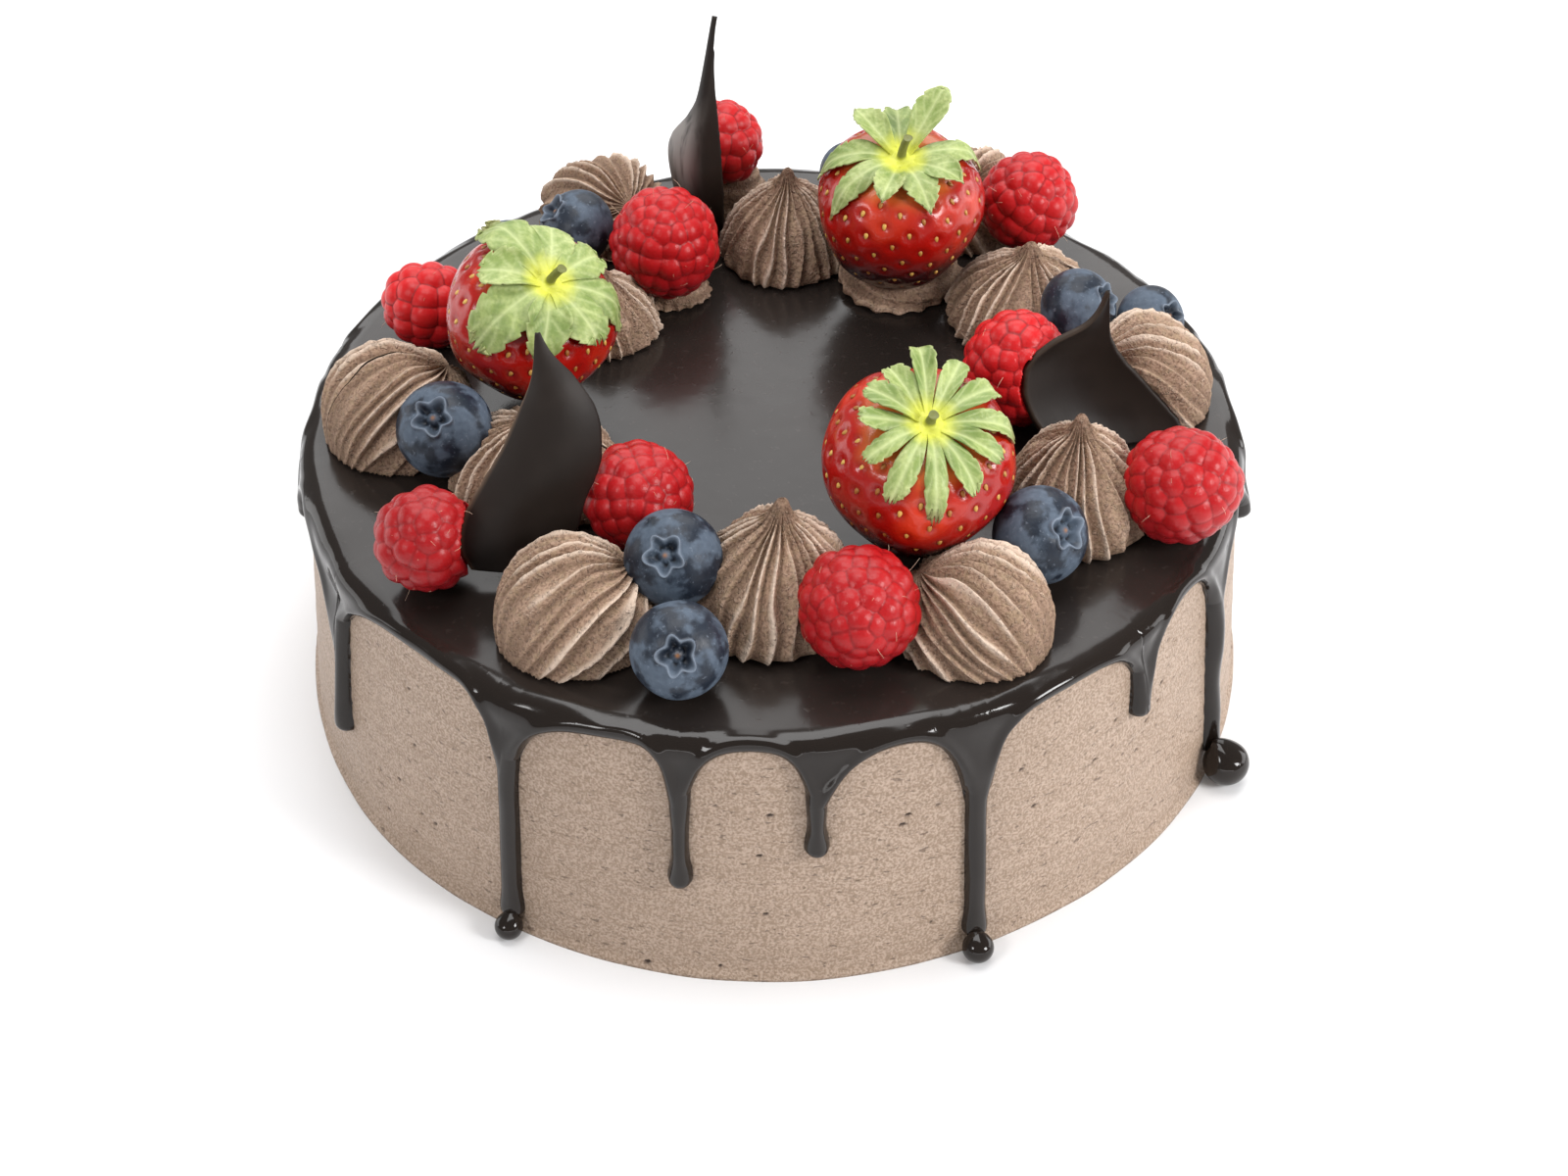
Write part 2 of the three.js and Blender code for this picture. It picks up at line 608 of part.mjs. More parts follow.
BLUEBERRIES.forEach((berry, index) => {
  const mesh = meshOf(`blueberry_${index + 1}`, blueberry(berry), FINISHES.blueberry);
  stand(mesh, berry);
  fruitRooms.push(roomOf(mesh, ballRoom(1.04 * berry.radius + GAP, 1)));
});

STRAWBERRIES.forEach((berry, index) => {
  const body = meshOf(`strawberry_${index + 1}`, strawberry(berry), FINISHES.strawberry);
  const grown = { radius: berry.radius + 2 * GAP, length: berry.length + 4 * GAP };
  fruitRooms.push(roomOf(stand(body, berry), strawberry(grown)));
  const leaves = strawberryLeaves(berry, LEAVES[index]);
  stand(meshOf(`strawberry_leaves_${index + 1}`, leaves, FINISHES.leaf), berry);
});

// Each piece of cream stands on the glaze and is pressed in by the fruit and petals on it.
function pipe(one, geometry) {
  const mesh = meshOf(one.name, geometry, FINISHES.pipedCream);
  stand(mesh, { at: [one.x, one.y, GLAZE_TOP + GAP], tilt: [0, 0] });
  press(mesh, [...petalRooms, ...fruitRooms]);
}

for (const one of SHELLS) pipe(one, shell(one));
for (const one of STARS) pipe(one, star(one));
for (const one of DABS) pipe(one, dab(one));

export default cake;
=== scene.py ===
# %% [markdown]
# # A chocolate berry cake
#
# An eight-inch cake stands on its flat underside. It is spread with pale chocolate buttercream,
# a dark glaze is poured over the top and runs down the side, and on the glaze stands a ring of
# piped cream with raspberries, blueberries, strawberries and three upright chocolate petals.
#
# The frame holds one plain solid for each piece, at its real size. This lesson makes the visible
# piece for each of them. Almost everything here is a closed form that a formula describes well:
# a grid or a ball is made by one operator, and all its corners are then moved at once.

import math
import random

import bmesh
import bpy
import numpy as np
from mathutils import Matrix, Vector, kdtree, noise


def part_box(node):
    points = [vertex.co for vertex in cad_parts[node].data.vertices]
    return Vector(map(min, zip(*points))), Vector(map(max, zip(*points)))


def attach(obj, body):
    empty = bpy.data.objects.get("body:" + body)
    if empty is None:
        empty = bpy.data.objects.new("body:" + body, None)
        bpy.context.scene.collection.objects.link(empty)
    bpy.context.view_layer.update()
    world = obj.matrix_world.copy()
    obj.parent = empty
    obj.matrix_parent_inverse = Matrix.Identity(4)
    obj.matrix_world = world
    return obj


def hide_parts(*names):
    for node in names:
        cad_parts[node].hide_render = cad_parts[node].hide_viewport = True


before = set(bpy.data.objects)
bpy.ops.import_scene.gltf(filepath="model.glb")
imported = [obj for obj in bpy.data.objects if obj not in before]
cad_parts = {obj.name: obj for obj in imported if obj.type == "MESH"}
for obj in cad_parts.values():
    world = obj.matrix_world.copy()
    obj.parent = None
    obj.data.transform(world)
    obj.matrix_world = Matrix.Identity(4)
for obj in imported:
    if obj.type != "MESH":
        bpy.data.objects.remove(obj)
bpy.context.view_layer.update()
MM = 0.001  # the formulas below work in millimetres, and meshes are in metres
print("nodes in the frame:", len(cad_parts))

# %% [markdown]
# ## Camera
#
# The camera looks down on the cake from the front, at about forty degrees. Its place and lens
# were worked out from the outlines of the cake in the picture. The three turns are applied one
# after the other: roll about the view, then tilt, then a small swing to the side.

# %% Camera
CAMERA_PLACE = (0, -401.2, 367.2)  # millimetres
CAMERA_PITCH = math.radians(41.64)  # how far it looks down
CAMERA_YAW = math.radians(0.34)  # swing towards +X
CAMERA_ROLL = math.radians(-0.23)
CAMERA_LENS = 55.93  # millimetres
CAMERA_SENSOR = 36  # its width

camera = bpy.data.objects.new("camera", bpy.data.cameras.new("camera"))
bpy.context.scene.collection.objects.link(camera)
camera.data.lens = CAMERA_LENS
camera.data.sensor_width = CAMERA_SENSOR
camera.data.clip_start = 0.01
tilt = Matrix.Rotation(math.pi / 2 - CAMERA_PITCH, 4, "X")
swing = Matrix.Rotation(-CAMERA_YAW, 4, "Z")
place = Matrix.Translation(Vector(CAMERA_PLACE) * MM)
camera.matrix_world = place @ swing @ tilt @ Matrix.Rotation(CAMERA_ROLL, 4, "Z")
bpy.context.scene.camera = camera
bpy.context.scene.view_settings.view_transform = "Standard"
print("camera at", tuple(round(value, 3) for value in camera.location))

# %% [markdown]
# ## Light
#
# The picture is bright, yet the glaze shows what it reflects. A wide lamp behind the cake makes
# the flat top grey, and dim surroundings in front keep fruit and drips deep in colour. So the
# world is dim, and wide lamps stand for a wall, a ceiling and the two sides. Two small strong ones
# are windows: they draw the thin bright lines, and the right one is the stronger. A long narrow
# one low in front picks out the lips of the drips.

# %% Light
WORLD_STRENGTH = 0.3
LAMPS = {  # place, what it points at, size in metres, and power in watts
    "wall_behind": ((0, 0.95, 0.85), (0, 0, 0.05), (1.5, 0.75), 9),
    "ceiling": ((0, 0.1, 1.1), (0, 0, 0.05), (0.8, 0.6), 7.5),
    "window_right": ((0.75, -0.45, 0.55), (0, 0, 0.04), (0.25, 0.32), 6.5),
    "window_left": ((-0.55, -0.6, 0.7), (0, 0, 0.05), (0.2, 0.28), 2.4),
    "side_right": ((1.1, 0.25, 0.3), (0, 0, 0.05), (0.8, 0.45), 4),
    "side_left": ((-1.1, 0.3, 0.27), (0, 0, 0.05), (0.8, 0.5), 2.8),
    "low_front": ((0, -0.9, 0.05), (0, 0, 0.03), (1.1, 0.06), 0.7),
}

world = bpy.data.worlds.new("room")
world.use_nodes = True
world.node_tree.nodes["Background"].inputs["Color"].default_value = (1, 1, 1, 1)
world.node_tree.nodes["Background"].inputs["Strength"].default_value = WORLD_STRENGTH
bpy.context.scene.world = world

for name, (spot, aim, size, power) in LAMPS.items():
    lamp = bpy.data.objects.new(name, bpy.data.lights.new(name, "AREA"))
    lamp.data.shape = "RECTANGLE"
    lamp.data.size, lamp.data.size_y = size
    lamp.data.energy = power
    lamp.location = spot
    lamp.rotation_euler = (Vector(aim) - Vector(spot)).to_track_quat("-Z", "Y").to_euler()
    bpy.context.scene.collection.objects.link(lamp)
print("lamps:", ", ".join(LAMPS))

# %% [markdown]
# ## Shader sums
#
# Finishes are easier to read as sums than as wires. `Tone` holds one socket and turns each
# operator into a Math node, also when the number comes first. `Finish` makes a material, and its
# one method `node` adds any other node.


# %% Sums of sockets
class Tone:
    """One socket in a finish, which takes part in sums."""

    def __init__(self, finish, socket):
        self.finish = finish
        self.socket = socket

    def math(self, operation, first, second):
        return self.finish.node("Math", {"operation": operation}, {0: first, 1: second})

    def __add__(self, other):
        return self.math("ADD", self, other)

    def __sub__(self, other):
        return self.math("SUBTRACT", self, other)

    def __rsub__(self, other):
        return self.math("SUBTRACT", other, self)

    def __mul__(self, other):
        return self.math("MULTIPLY", self, other)

    __radd__ = __add__
    __rmul__ = __mul__


# %% Finishes
class Finish:
    """A material with one Principled shader, named constants and a method for its nodes."""

    def __init__(self, name, constants):
        self.material = bpy.data.materials.new(name)
        self.material.use_nodes = True
        self.tree = self.material.node_tree
        self.shader = self.tree.nodes["Principled BSDF"]
        for socket, value in constants.items():
            self.shader.inputs[socket].default_value = value

    def feed(self, socket, value):
        if isinstance(value, Tone):
            self.tree.links.new(value.socket, socket)
        else:
            socket.default_value = value

    def node(self, kind, settings, sockets, output=0):
        made = self.tree.nodes.new("ShaderNode" + kind)
        for name, value in settings.items():
            setattr(made, name, value)
        for name, value in sockets.items():
            self.feed(made.inputs[name], value)
        return Tone(self, made.outputs[output])

    def spots(self, size, detail=2.0, stretch=(1, 1, 1)):
        """Soft noise from 0 to 1 with features of a size in millimetres, stretched along axes."""
        where = self.node("TexCoord", {}, {}, "Object")
        scale = tuple(1 / (size * MM * part) for part in stretch)
        mapped = self.node("Mapping", {}, {"Vector": where, "Scale": scale})
        return self.node("TexNoise", {}, {"Vector": mapped, "Scale": 1.0, "Detail": detail})

    def mark(self, name):
        """A number that the mesh carries at each corner."""
        return self.node("Attribute", {"attribute_name": name}, {}, "Fac")

    def ramp(self, value, low, high):
        """Rises smoothly from 0 to 1 as the value goes from low to high."""
        sockets = {"Value": value, "From Min": low, "From Max": high}
        return self.node("MapRange", {"interpolation_type": "SMOOTHSTEP"}, sockets)

    def blend(self, share, first, second):
        colours = [c if isinstance(c, Tone) else (*c, 1) for c in (first, second)]
        sockets = {0: share, 6: colours[0], 7: colours[1]}
        return self.node("Mix", {"data_type": "RGBA"}, sockets, 2)

    def relief(self, height, depth):
        """A bump whose full height is the given depth in millimetres."""
        sockets = {"Height": height, "Distance": depth * MM, "Strength": 1.0}
        self.feed(self.shader.inputs["Normal"], self.node("Bump", {}, sockets))

    def set(self, **sockets):
        for name, value in sockets.items():
            self.feed(self.shader.inputs[name.replace("_", " ")], value)
        return self.material


# %% [markdown]
# ## Making forms
#
# A closed form such as a berry is a grid whose sides meet. `formed` lays the grid with one
# operator, moves its corners by a formula that gets u and v from 0 to 1, and merges the seam and
# the poles. The formula may also return marks: numbers that a finish reads at each corner.
#
# The other helpers draw a smooth curve through a few places, which is how most outlines here are
# given, make soft noise, and turn and place a finished form.


# %% Laying and moving a grid
MERGE = 0.002  # corners of a seam or pole closer than this become one


def formed(columns, rows, shape):
    form = bmesh.new()
    bmesh.ops.create_grid(form, x_segments=columns, y_segments=rows, size=0.5)
    flat = np.array([corner.co[:2] for corner in form.verts]) + 0.5
    u = np.round(flat[:, 0] * columns) / columns
    v = np.round(flat[:, 1] * rows) / rows
    move(form, *shape(u, v))
    close(form)
    return form


def move(form, points, marks):
    for name, values in marks.items():
        layer = form.verts.layers.float.new(name)
        for corner, value in zip(form.verts, values):
            corner[layer] = value
    for corner, point in zip(form.verts, points * MM):
        corner.co = point


def close(form):
    bmesh.ops.remove_doubles(form, verts=form.verts, dist=MERGE * MM)
    bmesh.ops.recalc_face_normals(form, faces=form.faces)


def show(name, form, slot, finish, *nodes):
    """Makes the piece: it rides on the cake, and stands for the nodes given."""
    mesh = bpy.data.meshes.new(name)
    form.to_mesh(mesh)
    form.free()
    mesh.shade_smooth()
    mesh.materials.append(finish)
    piece = bpy.data.objects.new(name, mesh)
    bpy.context.scene.collection.objects.link(piece)
    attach(piece, "root")
    if nodes:
        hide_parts(*nodes)
    return piece


# %% Curves and noise
def through(points, share):
    """Places on a smooth curve through the points, at each share of the way along."""
    points = np.array(points, float)
    ends = 2 * points[0] - points[1], 2 * points[-1] - points[-2]
    line = np.vstack([ends[0], points, ends[1]])
    place = np.clip(share, 0, 1) * (len(points) - 1)
    index = np.minimum(place.astype(int), len(points) - 2)
    t = (place - index)[:, None]
    a, b, c, d = (line[index + step] for step in range(4))
    bent = (2 * a - 5 * b + 4 * c - d) * t**2 + (3 * b - a - 3 * c + d) * t**3
    return (2 * b + (c - a) * t + bent) / 2


def smooth(value, low, high):
    share = np.clip((value - low) / (high - low), 0, 1)
    return share * share * (3 - 2 * share)


def mix(first, second, share):
    return first + (second - first) * share


def lumps(points, size, seed=0):
    """Soft noise from -1 to 1 at each point, with lumps of a size in millimetres."""
    shift = Vector((17.3 * seed, -9.1 * seed, 4.7 * seed))
    return np.array([noise.noise(Vector(point) / size + shift) for point in points])


# %% Round forms and their places
def around(angle, radius, height):
    """Points at an angle in radians, a distance out and a height."""
    angle, radius, height = np.broadcast_arrays(angle, radius, height)
    return np.stack([radius * np.cos(angle), radius * np.sin(angle), height], axis=1)


def stood(points, at, tilt):
    """Points of a fruit put in place: tilted about X and then Y, in degrees, and moved."""
    turn = Matrix.Rotation(math.radians(tilt[0]), 3, "X")
    turn = turn @ Matrix.Rotation(math.radians(tilt[1]), 3, "Y")
    return points @ np.array(turn).T + np.array(at)


def middle(node):
    low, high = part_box(node)
    return np.array((low + high) / 2) / MM


def turned(profile, share, width, height):
    """Distance out and height along a profile, and the way out of its surface there."""
    scale = (width, height)
    line = through(profile, share) * scale
    step = through(profile, share + 0.004) * scale - through(profile, share - 0.004) * scale
    step = step / np.maximum(np.linalg.norm(step, axis=1), 1e-9)[:, None]
    return np.maximum(line[:, 0], 0), line[:, 1], -step[:, 1], step[:, 0]


# %% [markdown]
# ## Buttercream
#
# The side is spread smooth with a scraper, so it keeps faint level streaks, a slow waviness and
# the small pits of burst air bubbles. Streaks and grain are fine enough for the material. The
# waviness and the larger pits are real shape, so the side gets a fine mesh: each pit pushes the
# corners near it inwards, and leaves a mark that the material darkens with painted shade. Pits
# too small for the mesh are only painted, as dark dashes of painted shade.

# %% Buttercream
BASE_RADIUS = 101.2
SIDE_TAPER = 0.098  # the side leans in by this much for each millimetre up
CAKE_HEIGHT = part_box("cake_body")[1].z / MM
CAKE_EDGE = 1.6  # rounding of the hidden top edge
SIDE_COLUMNS = 1120
SIDE_ROWS = 84
CAP_ROWS = 2  # of them, at the top and again at the bottom, to close the form
CAP_STEP = 0.6  # how far in the first row of the bottom lies
STREAK_DEPTH = 0.16
STREAK_HEIGHT = 2.2
FOOT_SPREAD = 0.9  # how far cream stands out at the very foot
PITS = 170
PIT_DEPTH = 0.8
PIT_SQUASH = 2.1  # how much wider than high a pit is
PIT_HEIGHTS = (1, 50)


def side_radius(height):
    return BASE_RADIUS - SIDE_TAPER * height


def side_wave(angle, height):
    """How far the hand-spread side stands from a true cone."""
    return 0.28 * np.sin(3 * angle + 1) + 0.2 * np.sin(7 * angle + height / 20) - 0.3


def pit_depths(angle, height, dice):
    """How deep each corner of the side lies in a pit, from 0 to 1."""
    tree = kdtree.KDTree(len(angle))
    for index, (turn, up) in enumerate(zip(angle, height)):
        tree.insert((turn * BASE_RADIUS, up * PIT_SQUASH, 0), index)
    tree.balance()
    depths = np.zeros(len(angle))
    for _ in range(PITS):
        size = 0.5 + 0.35 * dice.random() ** 2
        along = dice.uniform(0, 2 * math.pi) * BASE_RADIUS
        spot = (along, dice.uniform(*PIT_HEIGHTS) * PIT_SQUASH, 0)
        for _, index, distance in tree.find_range(spot, 2 * size):
            depths[index] = max(depths[index], math.exp(-((distance / size) ** 2)))
    return depths


def buttercream_shape(u, v):
    angle = 2 * math.pi * u
    corner = side_radius(CAKE_HEIGHT - CAKE_EDGE)
    rows = np.round(v * SIDE_ROWS).astype(int)
    climb = np.clip((rows - CAP_ROWS) / (SIDE_ROWS - 2 * CAP_ROWS), 0, 1)
    height = climb * (CAKE_HEIGHT - CAKE_EDGE)
    radius = side_radius(height)
    on_side = (rows >= CAP_ROWS) & (rows <= SIDE_ROWS - CAP_ROWS)
    radius = np.where(rows == 1, BASE_RADIUS - CAP_STEP, radius)
    radius = np.where(rows == SIDE_ROWS - 1, corner - CAKE_EDGE, radius)
    height = np.where(rows >= SIDE_ROWS - 1, CAKE_HEIGHT, height)
    ring = np.cos(angle) * 9, np.sin(angle) * 9, height / STREAK_HEIGHT
    streak = STREAK_DEPTH * lumps(np.stack(ring, 1), 1)
    foot = FOOT_SPREAD * np.exp(-((height - 0.3) / 0.8) ** 2)
    # The pit mark also carries painted shade into the finish.
    pits = pit_depths(angle, height, random.Random(4)) * on_side
    radius = radius + on_side * (side_wave(angle, height) + streak + foot - PIT_DEPTH * pits)
    return around(angle, np.where(rows % SIDE_ROWS == 0, 0, radius), height), {"pit": pits}


# %% Buttercream finish
def buttercream_finish():
    finish = Finish("spread buttercream", {"Specular IOR Level": 0.35})
    cloud = finish.spots(38)
    streaks = finish.spots(1.0, 4, (16, 16, 1.5))
    grain = finish.spots(0.5, 4)
    # Painted shade: dark dashes stand in for the shadow in pits too small for the mesh.
    dashes = finish.ramp(finish.spots(1.0, 2, (2.2, 2.2, 0.8)), 0.66, 0.71)
    pale = finish.blend(cloud, (0.46, 0.344, 0.27), (0.57, 0.436, 0.347))
    texture = 0.45 * streaks + 0.8 * finish.ramp(grain, 0.38, 0.62)
    toned = finish.blend(texture, pale, (0.30, 0.213, 0.15))
    with_painted_dash_shade = finish.blend(0.7 * dashes, toned, (0.15, 0.10, 0.07))
    # Painted shade: the pits that are real shape are darkened as well.
    colour = finish.blend(finish.ramp(finish.mark("pit"), 0.15, 0.7), with_painted_dash_shade, (0.05, 0.03, 0.022))
    finish.relief(0.9 * streaks + 0.7 * grain - 0.4 * dashes, 0.45)
    return finish.set(Base_Color=colour, Roughness=0.34 + 0.2 * streaks)


side = formed(SIDE_COLUMNS, SIDE_ROWS, buttercream_shape)
show("buttercream_coat", side, "buttercream", buttercream_finish(), "cake_body")
print("buttercream:", CAKE_HEIGHT, "mm high with", PITS, "pits")

# %% [markdown]
# ## Poured glaze
#
# Warm glaze poured on a cold cake sets as it runs, so its lower edge is a row of arches with a
# drip hanging between each two. Wherever it ends, its skin rounds over and meets the buttercream
# steeply, and that rounding catches the thin bright line.
#
# A column of corners runs from the middle of the top to the lip at each angle. Path length is
# measured down that column. The skin's thickness depends only on the distance to the lip, worked
# out with a search tree, so arches, sides of drips and their round ends all get the same edge.

# %% Glaze edge
GLAZE_TOP = 59.2
SHOULDER = 3.9  # rounding of the surface that the glaze lies on
SKIN = 1.3  # its thickness on top and shoulder
RIB = 1.1  # how much thicker it is low on the side
LIP_HEIGHT = 55.8
LIP_WAVE = 0.4
# Of each drip: its angle, the height of its end and half its width; then, on the side before it
# and on the side after it, how far the lip drops towards it and within what distance; last the
# bead at its foot, as a radius and the degrees that it hangs aside.
DRIPS = [
    (-173, 42, 2.4, (8, 4), (10, 2.5), None),
    (-150.5, 17, 2.4, (18, 9), (9.5, 7), None),
    (-120.6, 3, 2.7, (15, 2.2), (11, 4), (2.8, 0.5)),
    (-100.3, 23.5, 2.2, (12, 1.7), (9.5, 2.6), None),
    (-85.5, 31.5, 2.2, (9, 2.3), (12, 5), None),
    (-67.5, 3, 2.7, (15, 3), (17, 3.2), (3.1, -0.5)),
    (-44, 37.5, 2.3, (7, 3.5), (15, 3.5), None),
    (-26, 4, 2.6, (11, 3), (12, 6), (4.8, -1.7)),
    (-9, 43, 2.3, (8, 3), (8, 3), None),
    (14, 26, 2.4, (11, 4), (9, 3), None),
    (36, 9, 2.6, (12, 3), (14, 5), None),
    (58, 36, 2.2, (8, 3), (9, 3), None),
    (78, 19, 2.5, (13, 5), (10, 3), None),
    (103, 40, 2.3, (8, 3), (8, 3), None),
    (122, 6, 2.6, (13, 3), (12, 4), None),
    (145, 29, 2.3, (9, 4), (10, 3), None),
    (166, 15, 2.4, (12, 3), (11, 4), None),
]
DRIP_COLUMNS = 16
BAY_COLUMNS = 44
TOP_ROWS = 14
ARCH_ROWS = 30  # from the top edge to the lip of the bays
DRIP_ROWS = 26  # from there to the end of a drip
LIP_ROW = TOP_ROWS + ARCH_ROWS + DRIP_ROWS
SHOULDER_PATH = SHOULDER * math.pi / 2  # length of the way over the shoulder
SHOULDER_FOOT = GLAZE_TOP - SKIN - SHOULDER  # height at which the shoulder meets the side


def arc_from(drip_angle, angle):
    turn = (angle - drip_angle + 180) % 360 - 180
    return np.radians(turn) * BASE_RADIUS


def bay_height(angle):
    """Height of the lip, as it would be without its drips."""
    height = LIP_HEIGHT + LIP_WAVE * np.sin(np.radians(7 * angle))
    for centre, _, half, before, after, _ in DRIPS:
        along = arc_from(centre, angle)
        drop, spread = np.where(along < 0, np.array([before]).T, np.array([after]).T)
        height = height - drop * np.exp(-np.maximum(0, np.abs(along) - half) / spread)
    return height


def lip_height(angle):
    height = bay_height(angle)
    for centre, end, half, _, _, _ in DRIPS:
        part = np.abs(arc_from(centre, angle)) / half
        tongue = end + half * (1 - np.sqrt(1 - np.minimum(part, 1) ** 2))
        height = np.where(part <= 1.0001, tongue, height)
    return height


def path_to(height):
    """Length of the way from the top edge over the shoulder and down to a height."""
    rise = np.clip((height - SHOULDER_FOOT) / SHOULDER, 0, 1)
    return SHOULDER * np.arccos(rise) + np.maximum(0, SHOULDER_FOOT - height)


def column_angles():
    """Angles of the columns: close on each drip and at its sides, wide in a bay."""
    angles = []
    swing = np.sin(np.linspace(-math.pi / 2, math.pi / 2, DRIP_COLUMNS + 1))[:-1]
    step = np.linspace(0, 1, BAY_COLUMNS + 1)[:-1]
    crowded = step - 0.8 * np.sin(2 * math.pi * step) / (2 * math.pi)
    for index, (angle, _, half, _, _, _) in enumerate(DRIPS):
        following, _, next_half, _, _, _ = DRIPS[(index + 1) % len(DRIPS)]
        to_degrees = math.degrees(1 / BASE_RADIUS)
        start = angle + half * to_degrees
        end = angle + (following - angle) % 360 - next_half * to_degrees
        angles += list(angle + half * to_degrees * swing) + list(mix(start, end, crowded))
    return np.array(angles + [angles[0] + 360])


GLAZE_ANGLES = column_angles()
print("glaze columns:", len(GLAZE_ANGLES) - 1)


# %% Glaze thickness
LIP_STEP = 0.03  # degrees between the places on the lip that are measured to
LIP_GAP = 0.15  # millimetres between them where the lip is steep
FAR = 9.0  # stands for any distance at which the skin has its full thickness
LIP_ROUND = 1.5  # millimetres from the lip in which the skin rounds over
LIP_ROUND_LOW = 0.8  # what is added to that low on the side
LIP_ROLL = 0.45  # how much thicker the skin is just inside the lip, as a share


def distance_to_lip(angle, path):
    fine = np.arange(GLAZE_ANGLES[0] - 3, GLAZE_ANGLES[-1] + 3, LIP_STEP)
    arc = np.radians(fine) * BASE_RADIUS
    edge = path_to(lip_height(fine))
    tree_points = []
    for a0, e0, a1, e1 in zip(arc, edge, arc[1:], edge[1:]):
        steps = 1 + int(abs(e1 - e0) / LIP_GAP)
        tree_points += [(mix(a0, a1, k / steps), mix(e0, e1, k / steps), 0) for k in range(steps)]
    tree = kdtree.KDTree(len(tree_points))
    for index, point in enumerate(tree_points):
        tree.insert(point, index)
    tree.balance()
    spots = zip(np.radians(angle) * BASE_RADIUS, path)
    return np.array([tree.find((spot[0], spot[1], 0))[2] for spot in spots])


def skin_thickness(distance, low):
    """Thickness of the glaze, which is rounded at the lip and rolled just inside it."""
    share = np.sqrt(1 - (1 - np.minimum(distance / (LIP_ROUND + LIP_ROUND_LOW * low), 1)) ** 2)
    roll = LIP_ROLL * np.exp(-(((distance - 1.6) / 1.2) ** 2)) * (1 - low)
    return share, (SKIN + RIB * low) * share * (1 + roll)


# %% Glaze form
TUCK = 1.2  # how far the sides of a drip, and the hidden rows, sink into the buttercream
HIDDEN_RADIUS = 80  # the underside of the glaze lies out of sight in the cake
HIDDEN_HEIGHT = 56.5


def pinch(angle, height):
    """Moves corners sideways: a drip has a slim neck, and a fuller end unless it has a bead."""
    moved = angle.copy()
    for centre, end, half, _, _, bead in DRIPS:
        along = arc_from(centre, angle)
        on_drip = np.abs(along) < half * 1.01
        neck = smooth(height, end + 2.5, end + 9) * (1 - smooth(height, 36, 46))
        swell = 0 if bead else np.exp(-(((height - end - half) / 2.6) ** 2))
        width = 1 - 0.2 * neck + 0.14 * swell
        moved = np.where(on_drip, centre + np.degrees(along * width / BASE_RADIUS), moved)
    return moved


def near_drip(angle):
    """1 above each drip, where more glaze has run over the edge, and 0 well away from it."""
    shares = [np.exp(-((arc_from(centre, angle) / 8) ** 2)) for centre, *_ in DRIPS]
    return np.max(shares, axis=0)


def beside_drips(angle):
    """True for the columns between drips, with those at the very sides of the drips."""
    parts = [np.abs(arc_from(centre, angle)) / half for centre, _, half, *_ in DRIPS]
    return np.min(parts, axis=0) > 0.999


def glaze_shape(u, v):
    column = np.round(u * (len(GLAZE_ANGLES) - 1)).astype(int)
    row = np.round(v * (LIP_ROW + 3)).astype(int)
    angle = GLAZE_ANGLES[column]
    bay, edge = path_to(bay_height(angle)), path_to(lip_height(angle))
    arch = np.clip((row - TOP_ROWS) / ARCH_ROWS, 0, 1)
    fall = np.clip((row - TOP_ROWS - ARCH_ROWS) / DRIP_ROWS, 0, 1)
    path = bay * (1 - (1 - arch) ** 1.9) + (edge - bay) * (1 - (1 - fall) ** 1.4)
    turn = np.minimum(path, SHOULDER_PATH) / SHOULDER
    beyond = np.maximum(0, path - SHOULDER_PATH)
    height = SHOULDER_FOOT + SHOULDER * np.cos(turn) - beyond
    falling = row > TOP_ROWS
    distance = np.full(len(row), FAR)
    distance[falling] = distance_to_lip(angle[falling], path[falling])
    low = smooth(beyond, 2, 10)
    share, thickness = skin_thickness(distance, low)
    radius = side_radius(SHOULDER_FOOT) - SHOULDER * (1 - np.sin(turn)) + SIDE_TAPER * beyond
    radius += smooth(turn, 0.8, 1.5) * (side_wave(np.radians(angle), height) - 0.15)
    top_share = np.clip(row / TOP_ROWS, 0, 1)
    radius = np.where(falling, radius + thickness * np.sin(turn), radius * top_share)
    height = height + thickness * np.cos(turn)
    flat = around(np.radians(angle), radius, height)
    near = near_drip(angle)
    outer = 0.5 + smooth(radius, 50, 88)
    ripple = outer * (0.19 * lumps(flat, 24, 2) + 0.07 * lumps(flat, 9, 3))
    ripple -= smooth(radius, 82, 93) * (0.28 * near - 0.1)
    swell = 0.55 * near + 0.75 * lumps(flat, 19, 7) + 0.3 * lumps(flat, 8, 8)
    sag = 0.3 * lumps(flat, 13, 5) * share * smooth(path, 4, 9)
    height = height + np.where(falling, 1 - smooth(path, 0, 4), 1) * ripple
    radius = radius + falling * (sag + np.maximum(smooth(path, 0, 3) * swell * share, -0.35))
    moved = pinch(angle, height)
    tucked = TUCK * beside_drips(angle) * np.minimum(6 * fall, 1)
    inner = np.where(row == LIP_ROW + 1, radius - TUCK, HIDDEN_RADIUS)
    inner = np.where(row == LIP_ROW + 3, 0, inner)
    radius = np.where(row > LIP_ROW, inner, radius - tucked)
    height = np.where(row > LIP_ROW + 1, HIDDEN_HEIGHT, height)
    return around(np.radians(moved), radius, height), {"skin": 1 - smooth(path, -1, 3) * falling}


def add_bead(form, centre, radius):
    """A drop at a drip's foot: a ball whose upper side is drawn into the drip."""
    ball = bmesh.ops.create_uvsphere(form, u_segments=40, v_segments=32, radius=1)["verts"]
    out = side_radius(radius) + radius
    for corner in ball:
        x, y, z = corner.co
        neck = max(0, (z - 0.5) / 0.5) ** 2
        slim = 1 - 0.1 * neck
        local = Vector((x * slim - 0.5 * neck, y * slim, z + 0.08 * neck)) * radius
        corner.co = local + Vector((out, 0, radius))
    turn = Matrix.Rotation(math.radians(centre), 4, "Z") @ Matrix.Scale(MM, 4)
    bmesh.ops.transform(form, matrix=turn, verts=ball)


